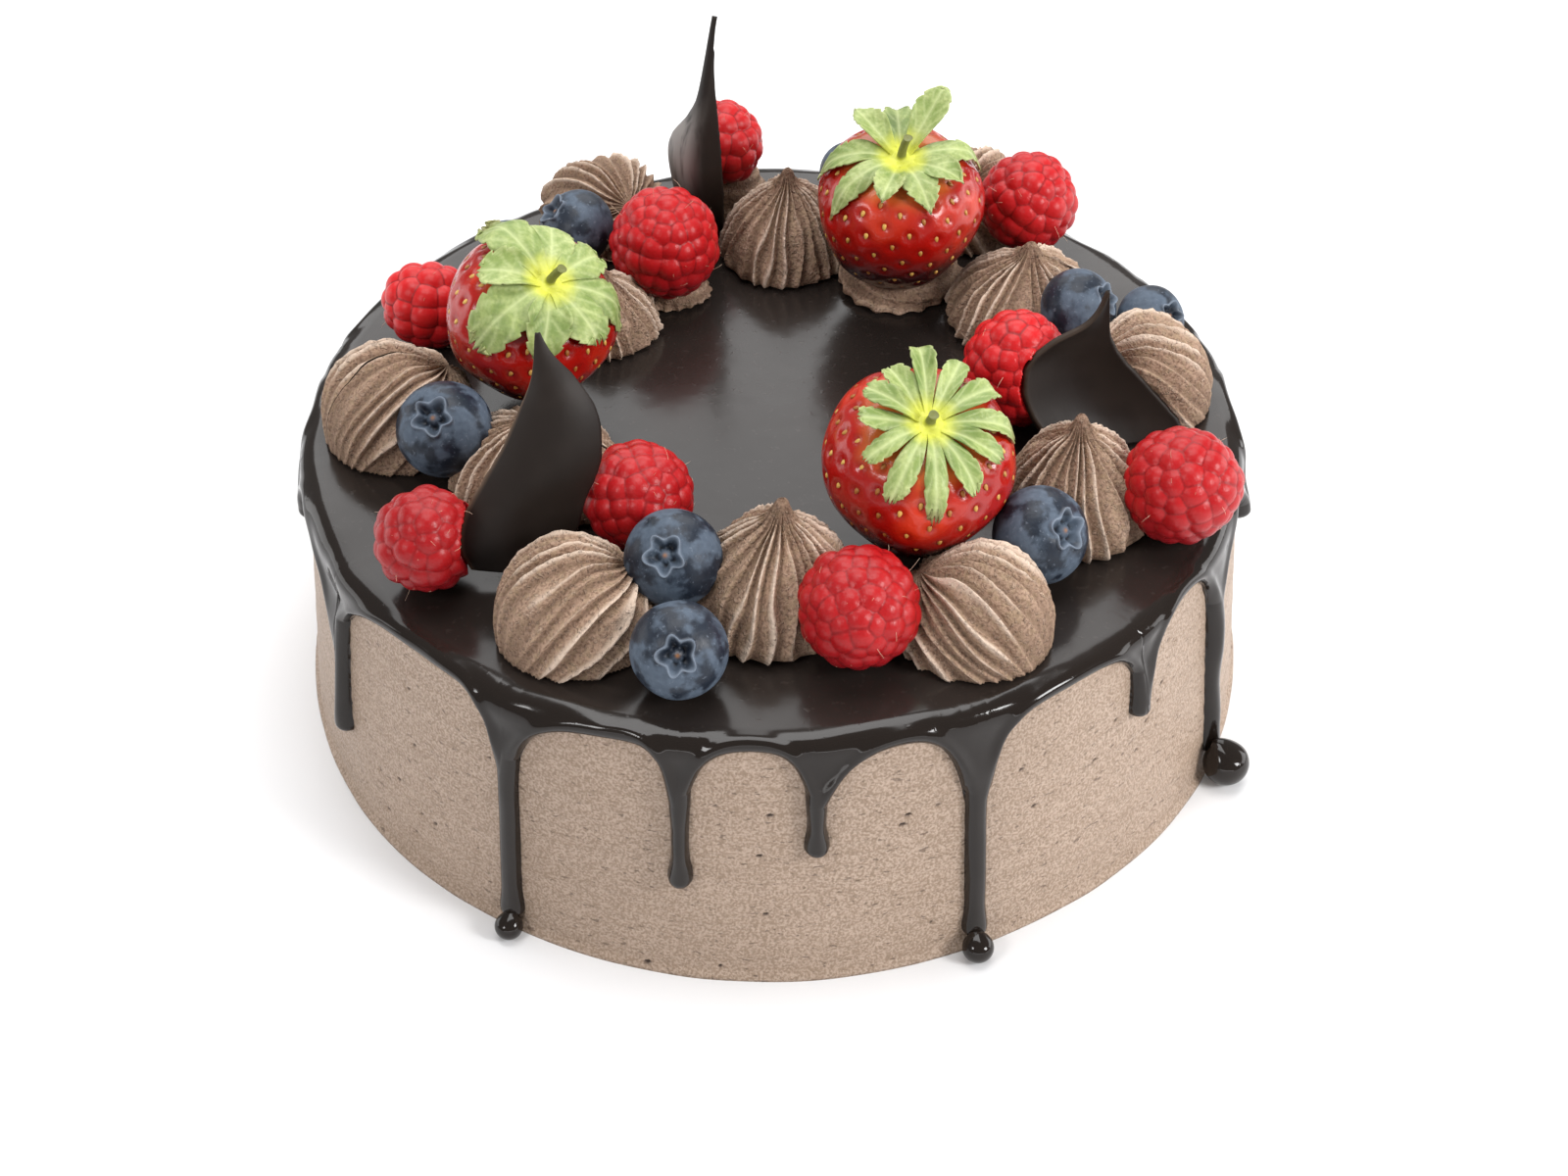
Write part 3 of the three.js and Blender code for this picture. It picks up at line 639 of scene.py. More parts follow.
# %% Glaze finish
def glaze_finish():
    finish = Finish("ganache glaze", {"Specular IOR Level": 0.36})
    dust = finish.ramp(finish.spots(1.4, 2), 0.62, 0.74)
    film = finish.spots(30, 2)
    skin = finish.mark("skin")
    upper = finish.blend(film, (0.019, 0.0145, 0.0125), (0.025, 0.0195, 0.017))
    # Painted shade: the sides and drips, where the skin mark falls to 0, are painted darker than
    # the top.
    colour = finish.blend(skin, (0.013, 0.009, 0.007), upper)
    flecked = finish.blend(0.12 * dust * skin, colour, (0.10, 0.08, 0.07))
    finish.relief(finish.spots(7, 1) + 0.1 * dust, 0.1)
    rough = 0.07 + 0.04 * film + 0.09 * skin
    return finish.set(Base_Color=flecked, Roughness=rough)


glaze = formed(len(GLAZE_ANGLES) - 1, LIP_ROW + 3, glaze_shape)
for centre, *_, bead in DRIPS:
    if bead:
        add_bead(glaze, centre + bead[1], bead[0])
print("glaze faces:", len(glaze.faces))
show("poured_glaze", glaze, "ganache", glaze_finish(), "ganache_glaze")

# %% [markdown]
# ## Chocolate petals
#
# Each petal is tempered chocolate spread thin, cut to a pointed shape and set bent. Its two edges
# differ, so each is a smooth curve through a few places, given as a share of the way up and a
# distance from the middle line. A grid spans them and is bowed, and Solidify gives it thickness.
# The petals come before the cream, because cream that is piped against one stops at it.

# %% Chocolate petals
PETALS = {  # foot, tip, the way it faces, bow, fold, left edge, right edge
    1: ((-15.5, 64.5, 60.2), (-12.5, 65, 115), -110, 7, 0.5,
        [(0, -5), (0.2, -6.5), (0.37, -7.5), (0.48, -6.2), (0.6, -2), (0.72, 0.3), (1, 1)],
        [(0, 4.5), (0.25, 5.6), (0.47, 5.3), (0.65, 4), (0.82, 2.4), (1, 1.5)]),
    2: ((-47, -50, 60.8), (-43.5, -33, 103.5), -80, 3, 0,
        [(0, -10.5), (0.1, -13), (0.24, -12.6), (0.38, -9.6), (0.53, -6), (0.68, -3), (0.82, -0.6),
         (1, 0)],
        [(0, 8), (0.2, 9), (0.33, 10.2), (0.46, 12.2), (0.58, 12.5), (0.7, 11.2), (0.82, 7.4),
         (0.92, 2.8), (1, 0.5)]),
    3: ((69, -16, 60.6), (66, -7, 93.5), -75, -3, 0,
        [(0, -10), (0.2, -14.5), (0.34, -16.8), (0.47, -17.4), (0.62, -16), (0.73, -11),
         (0.8, -4.8), (0.88, -1.8), (1, 0)],
        [(0, 15.5), (0.12, 14.3), (0.36, 8.5), (0.55, 3.6), (0.7, 1.2), (0.84, 0.7), (1, 0.4)]),
}
PETAL_THICKNESS = 1.2
CUT_EDGES = {1: 0, 2: 0.8, 3: 0.15}  # how pale the left edge is, where the knife went
FOLD_PLACE = 2  # millimetres right of the middle line
EDGE_WAVER = 0.16  # how far the cut edges leave their curves
WARP = 0.35  # how far the sheet leaves its bow
# Painted sheen: petal 1 is painted paler left of its fold, in place of the reflection of a bright
# wall.
PAINTED_SHEENS = {1: 1, 2: 0, 3: 0}  # how pale the middle is, left of the fold


def petal_axes(number):
    foot, tip, face, _, _, _, _ = PETALS[number]
    rise = Vector(tip) - Vector(foot)
    along = rise.normalized()
    facing = Vector((math.cos(math.radians(face)), math.sin(math.radians(face)), 0))
    across = along.cross(facing).normalized()
    return np.array(foot), rise.length, np.array(along), np.array(across), np.array(
        across.cross(along))


def petal_curve(number, share, offset, left, right):
    """How far the petal stands from its flat plane."""
    _, _, _, bow, fold, _, _ = PETALS[number]
    across = (offset - left) / np.maximum(right - left, 0.01)
    hollow = 4 * across * (1 - across) * (right - left) / 26
    ridge = np.abs(offset - FOLD_PLACE)
    return bow * (hollow + np.sin(math.pi * np.clip(share, 0, 1))) - fold * ridge


def petal_shape(number):
    _, _, _, _, _, left_edge, right_edge = PETALS[number]
    foot, length, along, across, normal = petal_axes(number)

    def shape(u, v):
        left, right = through(left_edge, v), through(right_edge, v)
        share = mix(left[:, 0], right[:, 0], u)
        offset = mix(left[:, 1], right[:, 1], u)
        edge = np.abs(2 * u - 1)
        seat = np.stack([np.sign(u - 0.5) * 5, share * length, 0 * u], 1)
        ragged = lumps(seat, 1.6, number) + 0.5 * lumps(seat, 0.7, number)
        width = np.minimum((right[:, 1] - left[:, 1]) / 20, 1)
        waver = EDGE_WAVER * width * ragged * smooth(edge, 0.93, 1)
        offset += waver * np.sign(u - 0.5) * (v > 0)
        flat = np.stack([offset, share * length, 0 * u], 1)
        curve = petal_curve(number, share, offset, left[:, 1], right[:, 1])
        curve += WARP * lumps(flat, 11, number)
        points = foot + np.outer(share * length, along) + np.outer(offset, across)
        painted_sheen_band = smooth(v, 0.15, 0.4) * smooth(-v, -0.8, -0.55)
        # The bloom mark carries painted sheen: a pale patch left of the fold, in place of a
        # reflection.
        bloom = PAINTED_SHEENS[number] * smooth(FOLD_PLACE - offset, -1, 3) * painted_sheen_band
        marks = {"cut": smooth(-u, -0.04, 0) * CUT_EDGES[number], "bloom": bloom}
        return points + np.outer(curve, normal), marks

    return shape


def kept_behind(points, number):
    """Moves points that would stand in front of a petal to just behind it."""
    _, _, _, _, _, left_edge, right_edge = PETALS[number]
    foot, length, along, across, normal = petal_axes(number)
    share = (points - foot) @ along / length
    offset = (points - foot) @ across
    left = np.interp(share, *zip(*left_edge))
    right = np.interp(share, *zip(*right_edge))
    ahead = (points - foot) @ normal - petal_curve(number, share, offset, left, right)
    covered = (offset > left - 1) & (offset < right + 1) & (share > -0.2) & (share < 1)
    gap = PETAL_THICKNESS / 2 + 0.4
    return points - np.outer(np.where(covered, np.maximum(0, ahead + gap), 0), normal)


# %% Petal finish
def petal_finish():
    finish = Finish("set chocolate", {"Specular IOR Level": 0.2})
    brushed = finish.spots(3, 3, (1, 1, 7))
    haze = finish.ramp(finish.spots(14, 2), 0.4, 0.7)
    body = finish.blend(haze, (0.0145, 0.010, 0.008), (0.021, 0.015, 0.012))
    # Painted sheen: where the bloom mark is set, the brown is painted pale grey.
    bloom = finish.mark("bloom") * finish.ramp(brushed, 0.25, 0.5)
    pale = finish.blend(bloom, body, (0.24, 0.22, 0.205))
    colour = finish.blend(0.8 * finish.mark("cut"), pale, (0.20, 0.13, 0.085))
    finish.relief(brushed, 0.05)
    return finish.set(Base_Color=colour, Roughness=0.42 + 0.14 * brushed)


petal_brown = petal_finish()
for number in PETALS:
    form = formed(40, 110, petal_shape(number))
    node = f"chocolate_petal_{number}"
    piece = show(f"chocolate_blade_{number}", form, "dark_chocolate", petal_brown, node)
    solid = piece.modifiers.new("thickness", "SOLIDIFY")
    solid.thickness = PETAL_THICKNESS * MM
    solid.offset = 0
print("petals:", len(PETALS))

# %% [markdown]
# ## Piped cream
#
# A star nozzle leaves sharp crests with rounded furrows between them. A star is piped straight
# down and pulled up to a nib, so it is turned from a profile, and its crests run from the nib to
# the base. A shell is piped sideways and dragged into a tail, so its crests run from the tail
# over the top like the meridians of a ball whose poles lie low at either end.
#
# In both, `crest_at` is 0 in a furrow and 1 on a crest, and moves the surface out. The crests are
# torn a little, because the cream is airy. The mark `crest` lets the finish paint a highlight on
# the crests and painted shade in the furrows.

# %% Piped cream shapes
CREAM_FLOOR = 59.5
STAR_RIDGES = 24
SHELL_RIDGES = 26
RIDGE_COLUMNS = 14  # corners across one ridge
CREST_PLACE = 0.76  # where a crest stands, as a share of its ridge's width
STAR_RELIEF = 1.0  # millimetres from the middle of the surface to a crest
SHELL_RELIEF = 1.2
SHELL_EDGE = 0.2  # height of the upright edge round a shell's foot, in heights
TAIL_LIFT = math.radians(42)
SHELLS = {  # middle, the way it points, half length, half width, height
    1: ((-36.5, -66), -158, 15.5, 14.5, 19),
    3: ((37, -68), -24, 15, 14, 18),
    5: ((76.5, 3.5), 5, 14.5, 15, 18),
    7: ((46, 71), 59, 15, 14, 16),
    9: ((-37.5, 69.5), 128, 15, 15, 15.5),
    11: ((-76, -5), -152, 15.5, 16, 19),
}
STARS = {  # middle, radius, height, how far the nib leans
    2: ((-0.5, -61), 15.5, 26, (2.5, 2)),
    4: ((59, -34.5), 14.5, 25, (0, 1)),
    6: ((55, 32), 16.5, 19, (0.5, 2)),
    8: ((3, 57), 13.5, 23, (1, 1)),
    10: ((-36, 29), 11.5, 17, (0, 0)),
    12: ((-47, -23), 17, 19, (0, 0)),
}
DABS = {13: ((28.5, 48), 13, 5.5), 14: ((-21.5, 43.5), 7.6, 5), 15: ((-10.5, 80), 9.5, 9)}
BEHIND_PETAL = {5: 3, 12: 2}  # cream that stops at the back of a petal, and the petal
STAR_PROFILE = [(0, 0.98), (0.07, 0.95), (0.12, 0.88), (0.21, 0.8), (0.45, 0.7), (0.78, 0.5),
                (1, 0.2), (0.93, 0), (0, 0)]
DAB_PROFILE = [(0, 1), (0.6, 0.95), (0.93, 0.62), (1, 0.3), (0.94, 0), (0, 0)]


def crest_at(turn, ridges, seed, along):
    """0 in the furrows and 1 on the crests, which are uneven and waver as they run."""
    wander = 0.3 * np.sin(2 * turn + seed) + 0.22 * np.sin(5 * turn + 2 * seed)
    waver = 0.16 * np.sin(9 * along + 3 * np.sin(4 * turn + seed))
    place = turn * ridges / (2 * math.pi) + wander + waver
    part = place - np.floor(place)
    crest = np.where(part < CREST_PLACE, part / CREST_PLACE, (1 - part) / (1 - CREST_PLACE)) ** 1.5
    number = np.floor(place)
    strength = 0.82 + 0.3 * np.sin(5.1 * number + seed)
    return crest, crest * np.minimum(strength, 1)


def torn(turn, along, seed):
    """Noise that runs along the crests in short tears."""
    return lumps(np.stack([np.cos(turn) * 14, np.sin(turn) * 14, along * 34], 1), 1.2, seed)


# %% Star shapes
def star_shape(number):
    (x, y), radius, height, lean = STARS[number]

    def shape(u, v):
        turn = 2 * math.pi * u
        out, up, way_out, way_up = turned(STAR_PROFILE, v, radius, height)
        level = up / height
        crest, strength = crest_at(turn, STAR_RIDGES, number, level)
        tear = torn(turn, level, number)
        fade = smooth(out, 0.6, 0.34 * radius) * (1 - smooth(v, 0.87, 0.9))
        relief = STAR_RELIEF * fade * (2 * strength - 1 + 0.3 * tear * crest)
        relief += 0.12 * lumps(np.stack([turn * 5, up, 0 * up], 1), 1.1, number) * (v > 0)
        out = np.where(v < 0.999, np.maximum(out + relief * way_out, 0), 0) * (v > 0.0001)
        up = np.where(v > 0.87, 0, np.maximum(up + relief * np.maximum(way_up, 0), 0))
        points = around(turn + 0.14 * level * math.sin(number), out, up + CREAM_FLOOR)
        points[:, 0] += lean[0] * level**2 + x
        points[:, 1] += lean[1] * level**2 + y
        return points, {"crest": strength * smooth(out, 0.1 * radius, 0.3 * radius)}

    return shape


# %% Shell shapes
def shell_shape(number):
    (x, y), toward, long, wide, height = SHELLS[number]
    tail_way = np.array([-math.cos(TAIL_LIFT), 0, math.sin(TAIL_LIFT)])
    up_way = np.array([math.sin(TAIL_LIFT), 0, math.cos(TAIL_LIFT)])
    side_way = np.array([0, 1, 0])

    def shape(u, v):
        turn, polar = 2 * math.pi * u, math.pi * v
        ring = np.outer(np.cos(turn), up_way) + np.outer(np.sin(turn), side_way)
        way = np.outer(np.cos(polar), tail_way) + np.sin(polar)[:, None] * ring
        flat = np.hypot(way[:, 0] / long, way[:, 1] / wide)
        rise = np.maximum(way[:, 2], 0) / ((1 - SHELL_EDGE) * height)
        reach = 1 / np.hypot(flat, rise)
        crest, strength = crest_at(turn, SHELL_RIDGES, number, v)
        tear = torn(turn, v, number)
        fade = smooth(np.sin(polar), 0, 0.5) * (1 - 0.75 * smooth(way[:, 0], 0.55, 0.95))
        low = 1 - 0.45 * smooth(-way[:, 2], -0.15, 0.12)
        reach += SHELL_RELIEF * fade * low * (2 * strength - 1 + 0.3 * tear * crest)
        edge = SHELL_EDGE * height
        reach = np.minimum(reach, edge / np.maximum(-way[:, 2], 1e-6))
        local = way * reach[:, None] + (0, 0, edge)
        sink = mix(0.85, 1, smooth(local[:, 0], -0.62 * long, 0))
        local[:, 2] *= sink
        cos, sin = math.cos(math.radians(toward)), math.sin(math.radians(toward))
        points = local @ np.array([[cos, sin, 0], [-sin, cos, 0], [0, 0, 1]])
        return points + (x, y, CREAM_FLOOR), {"crest": strength * fade}

    return shape


# %% Dab shapes
def dab_shape(number):
    (x, y), radius, height = DABS[number]

    def shape(u, v):
        turn = 2 * math.pi * u
        out, up, _, _ = turned(DAB_PROFILE, v, radius, height)
        fold = 0.05 * np.sin(3 * turn + 1.5 * up + number)
        spikes = 0.07 * np.abs(np.sin(9 * turn + number)) ** 3 * smooth(-up, -3, -0.5)
        out = out * (1 + fold + spikes) * (v < 0.999) * (v > 0.001)
        up = np.where(v > 0.8, 0, np.maximum(up, 0))
        points = around(turn, out, up)
        # Painted highlight: the swirl lines are only colour, painted lighter through the crest
        # mark.
        painted_swirl_highlight = np.abs(np.sin(2 * turn + 1.6 * up + number)) ** 6
        return points + (x, y, CREAM_FLOOR), {"crest": 0.6 * painted_swirl_highlight}

    return shape


# %% Piped cream finish
def cream_finish():
    finish = Finish("piped cream", {"Specular IOR Level": 0.22, "Roughness": 0.8})
    cloud = finish.spots(9, 2)
    grain = finish.spots(0.6, 4)
    coarse = finish.spots(1.5, 2)
    air = finish.ramp(finish.spots(0.8, 2), 0.56, 0.72)
    # The crest mark carries painted light: a painted highlight on the crests, painted shade in the
    # furrows.
    crest = finish.ramp(finish.mark("crest"), 0.45, 0.9)
    painted_furrow_shade = finish.ramp(finish.mark("crest"), 0.3, 0.0)
    body = finish.blend(cloud, (0.37, 0.243, 0.169), (0.48, 0.326, 0.238))
    mottled = finish.blend(0.85 * finish.ramp(grain, 0.4, 0.68), body, (0.19, 0.115, 0.075))
    tinted = finish.blend(0.45 * finish.ramp(coarse, 0.45, 0.65), mottled, (0.36, 0.26, 0.16))
    airy = finish.blend(0.5 * air, tinted, (0.58, 0.42, 0.32))
    deep = finish.blend(0.5 * painted_furrow_shade, airy, (0.13, 0.075, 0.048))
    colour = finish.blend(0.85 * crest * (0.4 + grain), deep, (0.78, 0.62, 0.50))
    finish.relief(grain + 0.7 * air, 0.5)
    return finish.set(Base_Color=colour)


# %% Piped cream pieces
def pressed(shape, number):
    """The shape, with what would pass through a petal kept behind it."""

    def checked(u, v):
        points, marks = shape(u, v)
        return kept_behind(points, BEHIND_PETAL[number]), marks

    return checked if number in BEHIND_PETAL else shape


cream = cream_finish()
for number in STARS:
    form = formed(STAR_RIDGES * RIDGE_COLUMNS, 110, pressed(star_shape(number), number))
    show(f"cream_star_{number}", form, "piped_cream", cream, f"cream_{number}")
for number in SHELLS:
    form = formed(SHELL_RIDGES * RIDGE_COLUMNS, 76, pressed(shell_shape(number), number))
    show(f"cream_whorl_{number}", form, "piped_cream", cream, f"cream_{number}")
for number in DABS:
    form = formed(150, 44, dab_shape(number))
    show(f"cream_dab_{number}", form, "piped_cream", cream, f"cream_{number}")
print("piped pieces:", len(STARS) + len(SHELLS) + len(DABS))

# %% [markdown]
# ## Raspberries
#
# A raspberry is a thimble of sixty or more small round drupelets. Modelled one by one they would
# be heavy, so each berry is one fine ball. Seen from the middle of the berry, a corner moves out
# to the surface of whichever drupelet reaches furthest, which gives round drupelets that meet in
# sharp creases. They sit in rings, each turned half a step against the one before, with a little
# chance in size and place. The creases and the underside of each berry get painted shade.

# %% Raspberry shapes
RASPBERRIES = {  # radius, length over width, tilt about X and Y, how light its red is
    1: (9.8, 1.12, (30, 10), 0),
    2: (10.6, 1, (50, 20), 0.3),
    3: (11.1, 1.08, (75, 0), 0.2),
    4: (11.1, 1.05, (50, 60), 0.3),
    5: (11, 1.15, (10, -5), 0.8),
    6: (10.7, 1, (20, 20), 0.5),
    7: (9.3, 1, (0, 10), 0.6),
    8: (11.6, 1.08, (10, 5), 0.5),
    9: (9, 1.08, (0, -80), 1),
}
DRUPELET = 3.45  # radius in millimetres; they overlap, so about four show of each
DRUPELET_STEP = 3.0  # between their middles
HAIRS = 36  # on each berry
FRUIT_BEHIND = {1: 2, 5: 3}  # raspberries that lean on the back of a petal, and the petal


def drupelets(radius, long, dice):
    """Middles and radii of a berry's drupelets, ring by ring from the tip."""
    middles, sizes = [], []
    core = radius - 0.9 * DRUPELET
    rings = round(math.pi * core * (1 + long) / 2 / DRUPELET_STEP)
    for ring in range(rings + 1):
        polar = math.pi * ring / rings
        count = max(1, round(2 * math.pi * core * math.sin(polar) / (1.04 * DRUPELET_STEP)))
        for step in range(count):
            turn = 2 * math.pi * (step + 0.5 * ring + dice.uniform(-0.2, 0.2)) / count
            lean = polar + dice.uniform(-0.07, 0.07)
            out = core * math.sin(lean) * (1 - 0.07 * math.cos(lean))
            up = long * core * math.cos(lean)
            middles.append((out * math.cos(turn), out * math.sin(turn), up))
            sizes.append(DRUPELET * dice.uniform(0.93, 1.07))
    return np.array(middles), np.array(sizes)


def beside_petal(points, number):
    return kept_behind(points, FRUIT_BEHIND[number]) if number in FRUIT_BEHIND else points


# %% One raspberry
def grow_raspberry(number):
    radius, long, tilt, light = RASPBERRIES[number]
    dice = random.Random(100 + number)
    centres, sizes = drupelets(radius, long, dice)
    form = bmesh.new()
    bmesh.ops.create_icosphere(form, subdivisions=6, radius=1)
    way = np.array([corner.co for corner in form.verts])
    way /= np.linalg.norm(way, axis=1)[:, None]
    along = way @ centres.T
    beside = (centres**2).sum(axis=1) - along**2
    inside = sizes**2 - beside
    reach = np.where(inside > 0, along + np.sqrt(np.maximum(inside, 0)), 0)
    reach.sort(axis=1)
    far = np.maximum(reach[:, -1], 0.78 * radius)
    # The bulge mark falls to 0 in the creases, where the finish paints shade.
    bulge = np.clip((reach[:, -1] - reach[:, -2]) / 0.6, 0, 1)
    at = middle(f"raspberry_{number}")
    points = beside_petal(stood(way * far[:, None], at, tilt), number)
    # The low mark carries painted shade: the red darkens towards the berry's underside.
    low = smooth(at[2] - points[:, 2], -2, radius)
    move(form, points, {"bulge": bulge, "low": low, "light": np.full(len(points), light)})
    close(form)
    show(f"raspberry_fruit_{number}", form, "raspberry", raspberry_skin, f"raspberry_{number}")
    tips = stood(centres * (1 + 0.72 * sizes / np.linalg.norm(centres, axis=1))[:, None], at, tilt)
    moved = np.linalg.norm(beside_petal(tips, number) - tips, axis=1)
    free = [index for index in range(len(tips)) if moved[index] == 0]
    for index in dice.sample(free, min(HAIRS, len(free))):
        grow_hair(tips[index], tips[index] - at, dice)


# %% [markdown]
# Each drupelet keeps a dry style, a pale curly hair two or three millimetres long. They are one
# curve with a short spline for each hair, turned into a mesh at the end.

# %% Raspberry hairs
HAIR_RADIUS = 0.055
HAIR_LENGTHS = (1.6, 3.0)
HAIR_STEPS = 4

hair_curve = bpy.data.curves.new("hairs", "CURVE")
hair_curve.dimensions = "3D"
hair_curve.bevel_depth = HAIR_RADIUS * MM
hair_curve.bevel_resolution = 0


def grow_hair(root, way, dice):
    way = Vector(way).normalized()
    bend = Vector([dice.uniform(-1, 1) for _ in range(3)])
    length = dice.uniform(*HAIR_LENGTHS)
    spline = hair_curve.splines.new("POLY")
    spline.points.add(HAIR_STEPS)
    for index, point in enumerate(spline.points):
        share = index / HAIR_STEPS
        curl = bend * length * 0.75 * share**2
        place = Vector(root) + way * length * share * (1 - 0.45 * share) + curl
        point.co = (*(place * MM), 1)
        point.radius = 1 - 0.6 * share


def hair_piece(finish):
    holder = bpy.data.objects.new("hair_holder", hair_curve)
    bpy.context.scene.collection.objects.link(holder)
    ready = holder.evaluated_get(bpy.context.evaluated_depsgraph_get())
    form = bmesh.new()
    form.from_mesh(bpy.data.meshes.new_from_object(ready))
    bpy.data.objects.remove(holder)
    bmesh.ops.holes_fill(form, edges=form.edges)
    bmesh.ops.recalc_face_normals(form, faces=form.faces)
    piece = show("raspberry_hairs", form, "raspberry", finish)
    print("hairs:", len(hair_curve.splines), "with", len(piece.data.polygons), "faces")


# %% Raspberry finishes
def raspberry_finish():
    constants = {
        "Subsurface Weight": 0.2,
        "Subsurface Radius": (1.0, 0.16, 0.10),
        "Subsurface Scale": 1.2 * MM,
        "Specular IOR Level": 0.3,
    }
    finish = Finish("raspberry skin", constants)
    patch = finish.spots(5, 2)
    bulge = finish.ramp(finish.mark("bulge"), 0.0, 0.55)
    ripe = finish.blend(patch, (0.28, 0.005, 0.008), (0.40, 0.009, 0.011))
    fresh = finish.blend(patch, (0.52, 0.009, 0.012), (0.72, 0.018, 0.020))
    bright = finish.blend(finish.mark("light"), ripe, fresh)
    # Painted shade: low on each berry the red is painted darker.
    deep = finish.blend(0.9 * finish.mark("low"), bright, (0.20, 0.005, 0.010))
    # Painted shade: the creases between drupelets are painted dark red.
    colour = finish.blend(bulge, (0.25, 0.004, 0.006), deep)
    finish.relief(finish.spots(0.5, 2), 0.07)
    return finish.set(Base_Color=colour, Roughness=0.36 - 0.08 * bulge + 0.12 * patch)


def hair_finish():
    finish = Finish("raspberry hair", {"Roughness": 0.5})
    shade = finish.spots(2)
    return finish.set(Base_Color=finish.blend(shade, (0.62, 0.36, 0.26), (0.85, 0.66, 0.48)))


raspberry_skin = raspberry_finish()
for number in RASPBERRIES:
    grow_raspberry(number)
hair_piece(hair_finish())

# %% [markdown]
# ## Blueberries
#
# A blueberry is a slightly flat ball with a five-lobed crown round a small pit. Its dull pale
# bloom is rubbed off in patches. The rows of the form are crowded round the crown, where the
# detail is: a ring pushed up where the lobes stand, a pit inside it, and a button in the pit.
# The groove in the pit is painted near black as its shadow.

# %% Blueberries
BLUEBERRIES = {  # radius and tilt
    1: (9.5, (35, -10)),
    2: (9, (45, -10)),
    3: (8.8, (55, 0)),
    4: (9.2, (42, 34)),
    5: (8.3, (30, 48)),
    6: (7.3, (42, 38)),
    7: (8.3, (8, -42)),
    8: (7, (0, -80)),
    9: (8, (10, 30)),
}
BLUEBERRY_COLUMNS = 144
BLUEBERRY_ROWS = 116
CROWN = 0.35  # distance of the crown's ring from the axis, as a share of the radius
LOBE = 0.055  # how far its five lobes reach in and out


def blueberry_shape(number):
    radius, tilt = BLUEBERRIES[number]
    at = middle(f"blueberry_{number}")

    def shape(u, v):
        turn = 2 * math.pi * u
        polar = math.pi * (0.42 * v + 0.58 * v**2.4)
        above = polar < 1.2
        away = np.sin(np.minimum(polar, math.pi / 2))
        star = np.cos(5 * turn + number + 0.5 * np.sin(2 * turn + number))
        rim = CROWN + LOBE * star
        ring = np.exp(-(((away - rim) / 0.032) ** 2)) * above
        lobes = ring * (0.065 + 0.04 * star)
        pit = (1 - smooth(away, rim - 0.1, rim - 0.01)) * above
        button = np.exp(-((away / 0.13) ** 2)) * 0.075 * above
        groove = np.exp(-(((away - 0.21 - 0.03 * star) / 0.055) ** 2)) * above
        out = radius * (1 + lobes - 0.16 * pit + button - 0.07 * groove * (0.55 + 0.45 * star))
        flat = 0.93 - 0.05 * np.exp(-((away / 0.5) ** 2)) * (polar < 1.5)
        local = around(turn, out * np.sin(polar) * 1.02, out * np.cos(polar) * flat)
        local += 0.12 * lumps(local, 6, number)[:, None] * local / radius
        heart = np.exp(-((away / 0.05) ** 2)) * above
        # The pit mark carries painted shadow for the groove inside the crown.
        marks = {"rim": ring, "pit": groove * (0.5 + 0.5 * star), "heart": heart}
        return stood(local, at, tilt), marks

    return shape


# %% Blueberry finish
def blueberry_finish():
    finish = Finish("blueberry bloom", {"Specular IOR Level": 0.35})
    rubbed = finish.ramp(finish.spots(5.5, 6), 0.42, 0.56)
    fine = finish.spots(1.3, 4)
    speck = finish.ramp(finish.spots(0.8, 2), 0.62, 0.72)
    skin = finish.blend(fine, (0.006, 0.009, 0.017), (0.019, 0.028, 0.044))
    bloom = finish.blend(fine, (0.042, 0.060, 0.090), (0.125, 0.163, 0.215))
    body = finish.blend(0.9 * rubbed, skin, bloom)
    dusted = finish.blend(0.3 * speck, body, (0.22, 0.26, 0.32))
    crown = finish.blend(0.7 * finish.mark("rim"), dusted, (0.21, 0.25, 0.31))
    # Painted shadow: the groove of the crown's pit is painted near black.
    hollow = finish.blend(0.9 * finish.mark("pit"), crown, (0.010, 0.010, 0.014))
    colour = finish.blend(0.8 * finish.mark("heart"), hollow, (0.30, 0.13, 0.045))
    finish.relief(fine, 0.09)
    return finish.set(Base_Color=colour, Roughness=0.40 + 0.25 * rubbed)


blueberry_skin = blueberry_finish()
for number in BLUEBERRIES:
    form = formed(BLUEBERRY_COLUMNS, BLUEBERRY_ROWS, blueberry_shape(number))
    show(f"blueberry_fruit_{number}", form, "blueberry", blueberry_skin, f"blueberry_{number}")
print("blueberries:", len(BLUEBERRIES))

# %% [markdown]
# ## Strawberries
#
# A strawberry is turned from its outline, with a small pit at each seed. The seeds follow a
# golden-angle spiral, which spaces them evenly without rows. They are real pieces: small flat
# drops that sit in the pits. The skin is darkest at the tip, partly its own deeper red and partly
# painted shade on its low side, and pale where the leaves shade it. The pits round the seeds
# get painted shade.

# %% Strawberry shapes
STRAWBERRIES = {  # radius, length, tilt
    1: (17.8, 35, (14, 0)),
    2: (17.3, 33, (22, 21)),
    3: (18.2, 35, (21, 6)),
}
STRAWBERRY_PROFILE = [
    (0, 0.40), (0.42, 0.44), (0.8, 0.35), (1, 0.13), (0.9, -0.14), (0.61, -0.37), (0.29, -0.51),
    (0, -0.56),
]
FRUIT_OFFSET = -0.045  # from the fruit's origin to the middle of its box, in lengths
SEEDS = 165
SEED_PIT = 0.62  # depth in millimetres
SEED_PIT_WIDTH = 1.05
SEED_SIZE = (0.45, 0.75, 0.3)  # half its width, length and thickness


def strawberry_origin(number):
    _, length, tilt = STRAWBERRIES[number]
    box_middle = middle(f"strawberry_{number}")
    return box_middle - stood(np.array([[0, 0, FRUIT_OFFSET * length]]), (0, 0, 0), tilt)[0]


